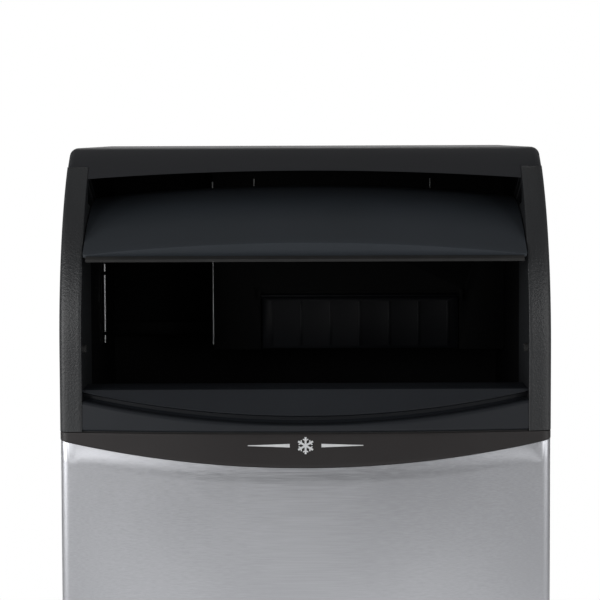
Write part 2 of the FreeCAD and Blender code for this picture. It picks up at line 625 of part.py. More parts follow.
# ---------------------------------------------------------------- ice maker in the bin
def ice_maker():
    x0, x1 = MODULE_X0, LINER_HW - 0.5
    s0, s1 = MODULE_S, REAR_IN - 0.5
    z0, z1 = HEIGHT - MODULE_DROP, Z_SEAM - 8
    t = 3.0
    shell = box(x0, x1, s0, s1, z0, z1).cut(box(x0 + t, x1 - t, s0 + t, s1 - t, z0 - 1, z1 - t))
    shell = shell.cut(box(CURTAIN_X0 - 2, CURTAIN_X1 + 2, s0 - 1, s0 + t + 1, z0 - 1, z0 + CURTAIN_H + 3))
    pin_z = z0 + CURTAIN_H - 4
    pin_s = s0 + 1.5
    for x in (CURTAIN_X0 - 7, CURTAIN_X1 + 2):
        shell = shell.fuse(box(x, x + 5, s0 + t, s0 + 14, pin_z - 6, pin_z + 10))
        shell = shell.fuse(box(x, x + 5, s0 - 7, s0 + t, pin_z - 6, pin_z + 10))
    shell = shell.removeSplitter()
    shell = shell.cut(cyl_x(3.0 + RUN_FIT, CURTAIN_X0 - 8, CURTAIN_X1 + 8, pin_s - 3, pin_z))
    for px, pz, r in PIPE_HOLES:
        shell = shell.cut(cyl_y(r + 1.5, s1 - t - 1, s1 + 1, px, pz))
    keep("ice_maker_housing", shell)
    # the curtain hangs on two pins
    cs = pin_s - 3
    curtain = box(CURTAIN_X0, CURTAIN_X1, cs - 1.5, cs + 1.5, z0 + 2, pin_z)
    curtain = curtain.fuse(cyl_x(3.0, CURTAIN_X0 - 6, CURTAIN_X1 + 6, cs, pin_z))
    for i in range(7):
        x = CURTAIN_X0 + 12 + i * (CURTAIN_X1 - CURTAIN_X0 - 28) / 6
        curtain = curtain.fuse(box(x, x + 3, cs - 4.0, cs - 1.5, z0 + 6, pin_z - 8))
    keep("ice_curtain", curtain.removeSplitter())
    # evaporator: a plate of cube cells with a tube behind it
    ex0, ex1, ez0, ez1 = CURTAIN_X0 + 14, CURTAIN_X1 - 14, z0 + 70, z1 - 50
    es = s0 + 55
    plate = box(ex0, ex1, es, es + 18, ez0, ez1)
    nx, nz = 9, 5
    cw, ch = (ex1 - ex0 - 2) / nx, (ez1 - ez0 - 2) / nz
    cells = [box(ex0 + 2 + i * cw, ex0 + i * cw + cw, es - 1, es + 15, ez0 + 2 + j * ch, ez0 + j * ch + ch)
             for i in range(nx) for j in range(nz)]
    plate = plate.cut(Part.makeCompound(cells))
    pts = []
    for j in range(nz):
        z = ez0 + ch * (j + 0.5)
        row = [(ex0 + 10, es + 22.8, z), (ex1 - 10, es + 22.8, z)]
        pts += row if j % 2 == 0 else row[::-1]
    keep("evaporator", fuse(plate, pipe(pts, 5.0)))
    # water trough, distributor, pump and float
    wx0, wx1 = CURTAIN_X0, x1 - t - 1
    ws0, ws1 = s0 + 20, s0 + 100
    wz0, wz1 = z0 + 4, z0 + 58
    sump = box(wx0, wx1, ws0, ws1, wz0, wz1).cut(box(wx0 + 2.5, wx1 - 2.5, ws0 + 2.5, ws1 - 2.5,
                                                     wz0 + 2.5, wz1 + 1))
    brackets = box(wx1, x1 - t, ws0 + 10, ws1 - 10, wz1 - 12, wz1)
    keep("water_sump", fuse(sump, brackets))
    dist = fuse(box(ex0, ex1, es - 6, es + 18, ez1 + 0.5, ez1 + 5), box(ex0, ex1, es - 6, es - 3, ez1 + 5, ez1 + 22),
                box(ex0, ex1, es + 15, es + 18, ez1 + 5, ez1 + 22),
                cyl_x(8.0, ex0, ex1, es + 6, ez1 + 14))
    keep("water_distributor", dist)
    px, ps = wx1 - 34, s0 + 60
    body = fuse(cyl_z(24, wz1 + 18, wz1 + 70, px, ps), cyl_z(12, wz0 + 30, wz1 + 18, px, ps),
                tube_z(20, 17, wz0 + 6, wz0 + 30, px, ps), box(px - 30, px + 30, ps - 6, ps + 6, wz1 + 12, wz1 + 18))
    body = body.cut(cyl_z(3.0 + RUN_FIT, wz0 + 29, wz0 + 46, px, ps))
    keep("water_pump", body)
    rotor = cyl_z(3.0, wz0 + 10, wz0 + 45, px, ps)
    for k in range(4):
        blade = box(px - 14, px + 14, ps - 1, ps + 1, wz0 + 10, wz0 + 24)
        blade.rotate(V(px, Y(ps), 0), V(0, 0, 1), 45 * k)
        rotor = rotor.fuse(blade)
    keep("pump_impeller", rotor.removeSplitter())
    fx, fs, fz = wx0 + 26, s0 + 60, wz1 - 8
    arm = fuse(cyl_x(2.5, fx - 11.5, fx + 11.5, fs - 26, fz), box(fx - 3, fx + 3, fs - 26, fs + 6, fz - 2, fz + 2),
               cyl_z(13, fz - 20, fz - 2, fx, fs + 10))
    keep("float_arm", arm)
    yoke = fuse(box(fx - 13, fx + 13, fs - 32, fs - 29, fz - 8, fz + 26),
                box(fx - 12, fx - 8.2, fs - 29, fs - 20, fz - 8, fz + 8),
                box(fx + 8.2, fx + 12, fs - 29, fs - 20, fz - 8, fz + 8),
                box(fx - 13, fx + 13, s0 + t, fs - 29, fz + 14, fz + 26))
    keep("float_valve", yoke.cut(cyl_x(2.5 + RUN_FIT, fx - 12.5, fx + 12.5, fs - 26, fz)))
    # recessed bay beside the ice maker
    bay = fuse(box(-LINER_HW + 0.5, x0 - 0.5, REAR_IN - 12, REAR_IN - 9, z0 + 14, z1),
               box(-LINER_HW + 0.5, x0 - 0.5, REAR_IN - 40, REAR_IN - 12, z0 + 14, z0 + 17),
               box(-LINER_HW + 0.5, x0 - 0.5, REAR_IN - 42, REAR_IN - 39, z0 + 14, z0 + 32))
    keep("bay_baffle", bay)
    probe = fuse(box(-LINER_HW, -LINER_HW + 3, PROBE_S - 9, PROBE_S + 9, PROBE_Z, PROBE_Z + 114),
                 box(-LINER_HW + 2, -LINER_HW + 8, PROBE_S - 2, PROBE_S + 2, PROBE_Z + 12, PROBE_Z + 18),
                 box(-LINER_HW + 2, -LINER_HW + 8, PROBE_S - 2, PROBE_S + 2, PROBE_Z + 96, PROBE_Z + 102),
                 cyl_z(2.8, PROBE_Z + 2, PROBE_Z + 112, -LINER_HW + 8, PROBE_S))
    keep("bin_probe", probe)
    # standpipe that drains the bin, flush with its floor
    keep("drain_hose", drain_line())


def drain_line():
    r, ri = DRAIN_HOSE_R, DRAIN_HOSE_R - 2
    x, s, z = BIN_DRAIN_X, BIN_DRAIN_S, DRAIN_Z
    top = BIN_FLOOR - 0.5
    end = DEPTH - 40
    outer = fuse(cyl_z(r, z, top, x, s), Part.makeSphere(r, V(x, Y(s), z)), cyl_y(r, s, end, x, z))
    inner = fuse(cyl_z(ri, z, top + 1, x, s), Part.makeSphere(ri, V(x, Y(s), z)), cyl_y(ri, s, end + 1, x, z))
    return outer.cut(inner)


# ---------------------------------------------------------------- machine space
def machine():
    zb = LEG_H + 1.2
    cx, cs, cr = COMP_X, COMP_S, 72.0
    shell = fuse(cyl_z(cr, zb + 34, zb + 120, cx, cs),
                 Part.makeSphere(cr, V(cx, Y(cs), zb + 120)).common(
                     box(cx - cr, cx + cr, cs - cr, cs + cr, zb + 120, zb + 165)),
                 box(cx - 95, cx + 95, cs - 60, cs + 60, zb + 14, zb + 18),
                 cyl_z(40, zb + 18, zb + 34, cx, cs),
                 box(cx + cr - 6, cx + cr + 22, cs - 22, cs + 22, zb + 60, zb + 100))
    shell = shell.cut(tube_z(cr - 4, 44, zb + 38, zb + 116, cx, cs))
    holes = [(cx + a * 84, cs + b * 50) for a in (-1, 1) for b in (-1, 1)]
    for hx, hs in holes:
        shell = shell.cut(cyl_z(6.0, zb + 13, zb + 19, hx, hs))
    keep("compressor", shell)
    groms = []
    for hx, hs in holes:
        g = fuse(cyl_z(10, zb, zb + 14, hx, hs), cyl_z(6.0, zb + 14, zb + 18, hx, hs),
                 cyl_z(9, zb + 18, zb + 22, hx, hs))
        groms.append(g)
    keep("compressor_mounts", Part.makeCompound(groms))
    # condenser: fins and tubes behind the grille
    x0, x1, s0, s1, z0, z1 = -240.0, 20.0, 52.0, 96.0, zb + 20, zb + 176
    block = box(x0, x1, s0, s1, z0, z1)
    n = 26
    pitch = (x1 - x0) / n
    gaps = [box(x0 + i * pitch + 1.5, x0 + (i + 1) * pitch, s0 + 2, s1 + 1, z0 + 4, z1 - 4) for i in range(n)]
    block = block.cut(Part.makeCompound(gaps))
    rows = [cyl_x(4.5, x0 - 8, x1 + 8, s0 + 22, z0 + 20 + 29 * j) for j in range(5)]
    keep("condenser_coil", fuse(block, *rows))
    keep("condenser_feet", Part.makeCompound([box(x, x + 24, s0, s1, zb, z0) for x in (x0, x1 - 24)]))
    fr = [box(x0, x1, 40, 43, z0, z0 + 10), box(x0, x1, 40, 43, z1 - 10, z1),
          box(x0, x0 + 10, 40, 43, z0 + 10, z1 - 10), box(x1 - 10, x1, 40, 43, z0 + 10, z1 - 10)]
    bars = [box(x0 + 10, x1 - 10, 41, 42, z0 + 14 + 11 * k, z0 + 16 + 11 * k) for k in range(12)]
    keep("air_filter", fuse(*(fr + bars)))
    keep("filter_clips", Part.makeCompound([box(x, x + 14, 43.0, 52.0, z1 - 24, z1 - 8) for x in (x0, x1 - 14)]))
    fx, fz = (x0 + x1) / 2, (z0 + z1) / 2
    shroud = box(x0, x1, s1 + 0.1, s1 + 26, z0, z1).cut(box(x0 + 2, x1 - 2, s1 - 1, s1 + 24, z0 + 2, z1 - 2))
    shroud = shroud.cut(cyl_y(68, s1 + 20, s1 + 40, fx, fz))
    ring = cyl_y(71, s1 + 24, s1 + 44, fx, fz).cut(cyl_y(68, s1 + 20, s1 + 45, fx, fz))
    keep("fan_shroud", fuse(shroud, ring))
    motor_s = s1 + 54
    arms = []
    for k in range(3):
        a = math.radians(90 + 120 * k)
        arm = box(-5, 5, motor_s + 2, motor_s + 6, 25, 76)
        arm.rotate(V(0, 0, 0), V(0, 1, 0), -120 * k)
        arm.translate(V(fx, 0, fz))
        foot = cyl_y(4, s1 + 26, motor_s + 2, fx + 74 * math.cos(a), fz + 74 * math.sin(a))
        arms += [arm, foot]
    motor = fuse(cyl_y(34, motor_s, motor_s + 44, fx, fz), *arms)
    motor = motor.cut(cyl_y(4 + RUN_FIT, motor_s - 1, motor_s + 12, fx, fz))
    keep("fan_motor", motor.cut(PARTS["fan_shroud"]))
    blade = fuse(cyl_y(18, s1 + 30, s1 + 46, fx, fz), cyl_y(4, s1 + 46, motor_s + 10, fx, fz))
    for k in range(5):
        b = box(-14, 14, s1 + 37, s1 + 39, 12, 64)
        b.rotate(V(0, Y(s1 + 38), 38), V(0, 0, 1), 26)
        b.rotate(V(0, 0, 0), V(0, 1, 0), 72 * k)
        b.translate(V(fx, 0, fz))
        blade = blade.fuse(b)
    keep("fan_blade", blade.removeSplitter())
    # refrigerant parts
    drier = fuse(cyl_z(17, zb + 40, zb + 130, 60, 190), cyl_z(5, zb + 28, zb + 142, 60, 190),
                 box(43, 77, 205.5, 209, zb, zb + 60), box(43, 77, 205.5, 250, zb, zb + 2))
    keep("filter_drier", drier.cut(cyl_y(4.5, 200, 215, 60, zb + 16)))
    lx = x1 + 8
    discharge = pipe([(cx, cs - cr + 2, zb + 70), (cx, cs - cr - 40, zb + 70), (lx + 6, cs - cr - 40, zb + 70),
                      (lx + 6, s0 + 22, zb + 70), (lx + 6, s0 + 22, z0 + 136), (lx, s0 + 22, z0 + 136)], 4.0)
    keep("discharge_line", discharge.cut(PARTS["compressor"]))
    keep("liquid_line", pipe([(lx, s0 + 22, z0 + 20), (lx + 32, s0 + 22, z0 + 20), (lx + 32, s0 + 22, zb + 152),
                              (60, 190, zb + 152), (60, 190, zb + 142)], 3.0))
    rs = DEPTH - SHEET - PIPE_SPACE / 2
    ph = PIPE_HOLES
    keep("capillary_line", pipe([(60, 190, zb + 28), (60, 190, zb + 16), (60, 296, zb + 16), (ph[1][0], 296, zb + 16),
                                 (ph[1][0], rs, zb + 16), (ph[1][0], rs, ph[1][1]),
                                 (ph[1][0], MODULE_S + 84, ph[1][1])], 3.0))
    suction = pipe([(cx, cs + cr - 2, zb + 60), (cx, rs, zb + 60), (cx, rs, ph[0][1] - 60),
                    (ph[0][0], rs, ph[0][1] - 60), (ph[0][0], rs, ph[0][1]), (ph[0][0], MODULE_S + 84, ph[0][1])], 5.0)
    keep("suction_line", suction.cut(PARTS["compressor"]))
    keep("hot_gas_valve", fuse(box(118, 142, 318, 342, zb + 34, zb + 58), cyl_z(8, zb + 58, zb + 62, 130, 330),
                               cyl_z(16, zb + 62, zb + 92, 130, 330), box(120, 140, 320, 340, zb, zb + 34)))
    # water and drain connections on the rear
    v = fuse(cyl_y(INLET_R, DEPTH - 22, DEPTH, INLET_X, INLET_Z), box(INLET_X - 20, INLET_X + 20, DEPTH - 70, DEPTH - 22,
                                                                  INLET_Z - 18, INLET_Z + 18),
             cyl_z(15, INLET_Z - 56, INLET_Z - 18, INLET_X, DEPTH - 46),
             box(INLET_X - 28, INLET_X + 28, DEPTH - SHEET - 3, DEPTH - SHEET, INLET_Z - 24, INLET_Z + 24))
    v = v.cut(cyl_y(INLET_BORE, DEPTH - 16, DEPTH + 1, INLET_X, INLET_Z))
    keep("inlet_valve", v)
    keep("water_line", pipe([(INLET_X, DEPTH - 70, INLET_Z), (INLET_X, DEPTH - 90, INLET_Z),
                             (INLET_X + 50, DEPTH - 90, INLET_Z), (INLET_X + 50, DEPTH - SHEET - PIPE_SPACE / 2, INLET_Z),
                             (INLET_X + 50, DEPTH - SHEET - PIPE_SPACE / 2, ph[2][1]), (ph[2][0], DEPTH - SHEET - PIPE_SPACE / 2, ph[2][1]),
                             (ph[2][0], REAR_IN - 22, ph[2][1])], 3.5))
    d = fuse(cyl_y(DRAIN_R, DEPTH - 40, DEPTH, DRAIN_X, DRAIN_Z),
             box(DRAIN_X - 18, DRAIN_X + 18, DEPTH - SHEET - 3, DEPTH - SHEET, DRAIN_Z - 18, DRAIN_Z + 18))
    keep("drain_fitting", d.cut(cyl_y(DRAIN_BORE, DEPTH - 41, DEPTH + 1, DRAIN_X, DRAIN_Z)))
    g = fuse(cyl_y(GLAND_R, DEPTH - 20, DEPTH, GLAND_X, GLAND_Z),
             cyl_y(GLAND_R + 4, DEPTH - SHEET - 5, DEPTH - SHEET, GLAND_X, GLAND_Z))
    keep("cord_gland", g.cut(cyl_y(4.5, DEPTH - 21, DEPTH + 1, GLAND_X, GLAND_Z)))
    # electrics
    bx0, bx1, bs0, bs1, bz0, bz1 = 110.0, 280.0, 64.0, 150.0, zb + 40, zb + 178
    keep("control_box", box(bx0, bx1, bs0, bs1, bz0, bz1).cut(box(bx0 + 2, bx1 - 2, bs0 + 2, bs1 - 2, bz0 + 2, bz1 + 1)))
    keep("control_lid", fuse(box(bx0 - 1.5, bx1 + 1.5, bs0 - 1.5, bs1 + 1.5, bz1 + 0.1, bz1 + 1.6)))
    keep("control_stand", Part.makeCompound([box(x, x + 20, bs0 + 10, bs1 - 10, zb, bz0) for x in (bx0 + 6, bx1 - 26)]))
    board = fuse(box(bx0 + 12, bx1 - 12, bs0 + 30, bs0 + 32, bz0 + 12, bz1 - 12),
                 box(bx0 + 30, bx0 + 60, bs0 + 32, bs0 + 54, bz0 + 30, bz0 + 60),
                 box(bx0 + 90, bx0 + 120, bs0 + 32, bs0 + 48, bz0 + 50, bz0 + 90),
                 box(bx0 + 20, bx0 + 26, bs0 + 2, bs0 + 30, bz0 + 20, bz0 + 26),
                 box(bx1 - 26, bx1 - 20, bs0 + 2, bs0 + 30, bz0 + 20, bz0 + 26))
    keep("control_board", board)


def switch():
    s0 = bow(SWITCH_X) + 0.8
    x, z = SWITCH_X, SWITCH_Z
    frame = box(x - 12.2, x + 12.2, s0 - 1.5, s0 + 16, z - 7.7, z + 7.7)
    flange = box(x - 14.5, x + 14.5, s0 - 3.2, s0 + 3, z - 10, z + 10)
    frame = frame.fuse(flange.cut(PARTS["front_grille"]))
    frame = frame.cut(box(x - 10, x + 10, s0 - 5, s0 + 14, z - 5.5, z + 5.5))
    axis_s = s0 + 3.0
    frame = frame.cut(cyl_z(1.5 + RUN_FIT, z - 7.0, z + 7.0, x, axis_s))
    keep("switch_frame", frame)
    a = math.radians(8)
    w = 9.0
    rocker = prism_z([(x - w, axis_s - 5.5), (x, axis_s - 3.9), (x + w, axis_s - 5.5), (x + w, axis_s - 0.5),
                      (x + 3, axis_s + 6), (x - 3, axis_s + 6), (x - w, axis_s - 0.5)], z - 5.2, z + 5.2)
    rocker = rocker.fuse(cyl_z(1.5, z - 6.8, z + 6.8, x, axis_s))
    rocker.rotate(V(x, Y(axis_s), 0), V(0, 0, 1), math.degrees(a))
    keep("rocker_switch", rocker.removeSplitter())


# ---------------------------------------------------------------- legs, feet, fixings, scoop
def legs():
    for fb, s in (("front", LEG_IN_S), ("rear", DEPTH - LEG_IN_S)):
        for lr, x in (("left", -HW + LEG_IN_X), ("right", HW - LEG_IN_X)):
            leg = fuse(Part.makeCone(LEG_R - 4, LEG_R, LEG_H - 15 - 5, V(x, Y(s), 15), V(0, 0, 1)),
                       cyl_z(LEG_R, LEG_H - 5, LEG_H - 4, x, s),
                       box(x - 32, x + 32, s - 32, s + 32, LEG_H - 4, LEG_H))
            leg = leg.cut(cyl_z(STEM_R + RUN_FIT, 14, 90, x, s))
            keep("leg_%s_%s" % (fb, lr), leg)
            foot = fuse(cyl_z(FOOT_R, 0, 5, x, s), Part.makeCone(FOOT_R, 12, 6, V(x, Y(s), 5), V(0, 0, 1)),
                        cyl_z(12, 11, 15, x, s), cyl_z(STEM_R, 15, 80, x, s))
            keep("foot_%s_%s" % (fb, lr), foot)


def screws():
    heads = []
    for x in (-HW + 12, -60, 60, HW - 12):
        for z in (LEG_H + 14, Z_SEAM - 14):
            heads.append(cyl_y(3.5, DEPTH - SHEET - 6, DEPTH - SHEET, x, z).common(
                cyl_y(2.0, DEPTH - SHEET - 6, DEPTH - SHEET, x, z)))
    PARTS["rear_panel"] = PARTS["rear_panel"].cut(Part.makeCompound(
        [cyl_y(3.5, DEPTH - 0.6, DEPTH + 1, h.BoundBox.Center.x, h.BoundBox.Center.z) for h in heads]))
    caps = [cyl_y(3.5, DEPTH - 0.6, DEPTH, h.BoundBox.Center.x, h.BoundBox.Center.z) for h in heads]
    keep("rear_screws", Part.makeCompound(caps))
    lower = []
    for x in (-HW + 40, HW - 40):
        s = bow(x) + 0.8
        hole = cyl_y(4.0, s - 4, s + 1.2, x, LEG_H + 12)
        PARTS["front_grille"] = PARTS["front_grille"].cut(cyl_y(4.0, s - 8, s + 1.2, x, LEG_H + 12))
        lower.append(hole.cut(box(x - 0.5, x + 0.5, s - 8, s - 3, LEG_H, LEG_H + 30)).common(
            box(x - 5, x + 5, s - 0.8, s + 1.2, LEG_H, LEG_H + 30)))
    keep("grille_screws", Part.makeCompound(lower))


def scoop():
    x, s, z = SCOOP_X, FRONT_BACK + LINER + 6, SCOOP_Z
    plate = box(x - 34, x + 34, s - 6, s - 3.5, z - 20, z + 118)
    hook = fuse(box(x - 34, x + 34, s - 3.5, s + 22, z - 20, z - 17), box(x - 34, x + 34, s + 19.5, s + 22, z - 17, z + 10),
                box(x - 34, x - 31.5, s - 3.5, s + 19.5, z - 17, z + 24), box(x + 31.5, x + 34, s - 3.5, s + 19.5, z - 17, z + 24))
    keep("scoop_holder", fuse(plate, hook))
    bowl = Part.makeCylinder(31, 92, V(x, Y(s + 30), z - 16.5), V(0, 0, 1))
    bowl = bowl.common(box(x - 40, x + 40, s - 2, s + 18, z - 17, z + 90))
    hollow = Part.makeCylinder(29, 92, V(x, Y(s + 30), z - 20), V(0, 0, 1))
    bowl = bowl.cut(hollow.common(box(x - 40, x + 40, s - 2, s + 19, z - 30, z + 73.3)))
    handle = fuse(cyl_z(9, z + 74, z + 150, x, s + 9), Part.makeSphere(9, V(x, Y(s + 9), z + 150)))
    keep("ice_scoop", fuse(bowl, handle))


def main():
    base_pan()
    side_panels()
    rear_panel()
    insulation()
    bin_liner()
    top_cover()
    cheeks()
    sill_bezel()
    badge_trim()
    front_panel()
    front_grille()
    tracks()
    carriage()
    door()
    bumpers()
    ice_maker()
    machine()
    switch()
    legs()
    screws()
    scoop()
    group("pipework", "discharge_line", "liquid_line", "capillary_line", "suction_line", "water_line")
    group("legs", "leg_front_left", "leg_front_right", "leg_rear_left", "leg_rear_right")
    group("screws", "rear_screws", "grille_screws")
    group("condenser_mounts", "condenser_feet", "filter_clips")
    group("control_box", "control_box", "control_stand", "control_lid")
    group("insulation", "bin_insulation", "roof_insulation")
    group("slide_shoes", "slide_shoe_left", "slide_shoe_right")
    group("door_tracks", "door_track_left", "door_track_right")
    os.makedirs("parts", exist_ok=True)
    for name, shape in PARTS.items():
        shape.exportStep("parts/%s.step" % name)
    print(len(PARTS), "parts")


if __name__ == "__main__":
    main()
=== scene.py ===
"""Undercounter ice machine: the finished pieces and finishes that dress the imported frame."""

from __future__ import annotations

import json
import logging
import math
from dataclasses import dataclass
from enum import Enum
from typing import Callable, Iterable, Sequence

import bmesh
import bpy
from mathutils import Matrix, Vector

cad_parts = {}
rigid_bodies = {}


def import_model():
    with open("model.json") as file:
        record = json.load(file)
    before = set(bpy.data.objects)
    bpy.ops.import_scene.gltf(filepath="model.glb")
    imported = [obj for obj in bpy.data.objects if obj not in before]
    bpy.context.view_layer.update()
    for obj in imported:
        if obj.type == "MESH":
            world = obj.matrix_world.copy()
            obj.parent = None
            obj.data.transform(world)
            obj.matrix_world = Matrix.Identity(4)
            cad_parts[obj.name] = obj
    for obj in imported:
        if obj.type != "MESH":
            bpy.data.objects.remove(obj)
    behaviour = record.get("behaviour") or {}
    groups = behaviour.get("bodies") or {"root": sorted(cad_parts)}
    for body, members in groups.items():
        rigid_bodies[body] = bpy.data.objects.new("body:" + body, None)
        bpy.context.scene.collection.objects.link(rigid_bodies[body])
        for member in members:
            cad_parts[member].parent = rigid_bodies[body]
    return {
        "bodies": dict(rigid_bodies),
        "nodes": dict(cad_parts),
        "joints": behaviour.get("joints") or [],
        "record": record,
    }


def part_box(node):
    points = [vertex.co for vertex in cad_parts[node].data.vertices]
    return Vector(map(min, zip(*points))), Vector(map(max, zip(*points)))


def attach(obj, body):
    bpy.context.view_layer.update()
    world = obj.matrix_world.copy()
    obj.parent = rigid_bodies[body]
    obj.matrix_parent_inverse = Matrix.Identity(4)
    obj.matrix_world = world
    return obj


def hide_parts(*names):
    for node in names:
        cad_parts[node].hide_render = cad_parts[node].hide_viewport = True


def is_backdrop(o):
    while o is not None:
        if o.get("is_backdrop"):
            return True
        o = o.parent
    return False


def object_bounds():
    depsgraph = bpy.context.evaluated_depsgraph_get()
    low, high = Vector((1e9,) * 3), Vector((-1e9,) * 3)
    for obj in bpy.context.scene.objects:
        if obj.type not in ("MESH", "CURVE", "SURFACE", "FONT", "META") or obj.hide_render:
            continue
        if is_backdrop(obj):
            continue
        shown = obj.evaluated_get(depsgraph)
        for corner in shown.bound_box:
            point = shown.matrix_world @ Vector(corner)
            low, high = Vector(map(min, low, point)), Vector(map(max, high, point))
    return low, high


LOG = logging.getLogger("ice_machine")
MM = 0.001
Point = tuple[float, float]
Colour = tuple[float, float, float, float]


class Along(Enum):
    """The direction that brushing lines run in: side to side, up and down, or front to back."""

    ACROSS = "across"
    UPRIGHT = "upright"
    DEEP = "deep"


# ------------------------------------------------------------------ node helpers


def linear(hex_code: str) -> Colour:
    """Turn an sRGB hex value into linear light.

    Args:
        hex_code: six hex digits.

    Returns:
        Red, green, blue and an alpha of one.
    """
    parts = [int(hex_code[i : i + 2], 16) / 255 for i in (0, 2, 4)]
    lin = [c / 12.92 if c <= 0.04045 else ((c + 0.055) / 1.055) ** 2.4 for c in parts]
    return (lin[0], lin[1], lin[2], 1.0)


def add(tree: bpy.types.NodeTree, kind: str, inputs: dict | None = None, links: dict | None = None,
        **settings: object) -> bpy.types.Node:
    """Add one node with its settings, values and incoming links.

    Args:
        tree: the node tree to add to.
        kind: the node's type name.
        inputs: socket name or index to value.
        links: socket name or index to the output socket that feeds it.
        settings: attributes of the node itself.

    Returns:
        The new node.
    """
    node = tree.nodes.new(kind)
    for key, value in settings.items():
        setattr(node, key, value)
    for key, value in (inputs or {}).items():
        node.inputs[key].default_value = value
    for key, source in (links or {}).items():
        tree.links.new(source, node.inputs[key])
    return node


def start_material(
    title: str,
) -> tuple[bpy.types.Material, bpy.types.NodeTree, bpy.types.Node, bpy.types.Node]:
    """Open a material that holds only a shader, its output and object coordinates.

    Args:
        title: the finish's name.

    Returns:
        The material, its tree, the Principled shader and the coordinate node.
    """
    material = bpy.data.materials.new(title)
    material.use_nodes = True
    tree = material.node_tree
    tree.nodes.clear()
    shader = add(tree, "ShaderNodeBsdfPrincipled")
    add(tree, "ShaderNodeOutputMaterial", links={"Surface": shader.outputs["BSDF"]})
    return material, tree, shader, add(tree, "ShaderNodeTexCoord")


def ramp_between(tree: bpy.types.NodeTree, source: bpy.types.NodeSocket, low: Colour, high: Colour,
                 start: float = 0.3, end: float = 0.7) -> bpy.types.NodeSocket:
    """Spread a grey pattern between two colours.

    Args:
        tree: the material's tree.
        source: the pattern's output.
        low: colour below start.
        high: colour above end.
        start: pattern value where the change begins.
        end: pattern value where it is complete.

    Returns:
        The colour output.
    """
    node = add(tree, "ShaderNodeValToRGB", links={"Fac": source})
    node.color_ramp.elements[0].position = start
    node.color_ramp.elements[0].color = low
    node.color_ramp.elements[1].position = end
    node.color_ramp.elements[1].color = high
    return node.outputs["Color"]


def spread(
    tree: bpy.types.NodeTree, source: bpy.types.NodeSocket, low: float, high: float
) -> bpy.types.NodeSocket:
    """Map the middle of a pattern's range to plain values.

    Args:
        tree: the material's tree.
        source: the pattern's output.
        low: value at a pattern value of 0.3.
        high: value at a pattern value of 0.7.

    Returns:
        The value output.
    """
    node = add(tree, "ShaderNodeMapRange", {"From Min": 0.3, "From Max": 0.7, "To Min": low, "To Max": high},
               {"Value": source})
    return node.outputs["Result"]


def hills(tree: bpy.types.NodeTree, shader: bpy.types.Node, height: bpy.types.NodeSocket, strength: float,
          depth_mm: float) -> None:
    """Give the shader a fine relief.

    Args:
        tree: the material's tree.
        shader: its Principled shader.
        height: the relief's output.
        strength: how much of the relief shows.
        depth_mm: its depth.
    """
    bump = add(tree, "ShaderNodeBump", {"Strength": strength, "Distance": depth_mm * MM}, {"Height": height})
    tree.links.new(bump.outputs["Normal"], shader.inputs["Normal"])


# ------------------------------------------------------------------ finishes


@dataclass(frozen=True)
class MouldedPlastic:
    """Injection-moulded plastic with a spark-eroded grain, which breaks highlights into a soft sparkle."""

    title: str
    colour: str
    worn: str
    roughness: float
    grain_mm: float
    depth_mm: float
    ior: float = 1.5
    specular: float = 0.5

    def build(self) -> bpy.types.Material:
        """Make the material.

        Returns:
            the plastic, with its wear in the object's own coordinates.
        """
        material, tree, shader, coord = start_material(self.title)
        place = coord.outputs["Object"]
        per_metre = 1 / (self.grain_mm * MM)
        grain = add(tree, "ShaderNodeTexNoise", {"Scale": per_metre, "Detail": 3.0, "Roughness": 0.6},
                    {"Vector": place})
        cells = add(tree, "ShaderNodeTexVoronoi", {"Scale": 0.6 * per_metre}, {"Vector": place})
        both = add(tree, "ShaderNodeMath", {}, {0: grain.outputs["Fac"], 1: cells.outputs["Distance"]},
                   operation="ADD")
        cloud = add(tree, "ShaderNodeTexNoise", {"Scale": 6.0, "Detail": 4.0}, {"Vector": place})
        tree.links.new(ramp_between(tree, cloud.outputs["Fac"], linear(self.colour), linear(self.worn)),
                       shader.inputs["Base Color"])
        tree.links.new(spread(tree, cloud.outputs["Fac"], self.roughness - 0.03, self.roughness + 0.04),
                       shader.inputs["Roughness"])
        hills(tree, shader, both.outputs["Value"], 0.6, self.depth_mm)
        shader.inputs["IOR"].default_value = self.ior
        shader.inputs["Specular IOR Level"].default_value = self.specular
        return material


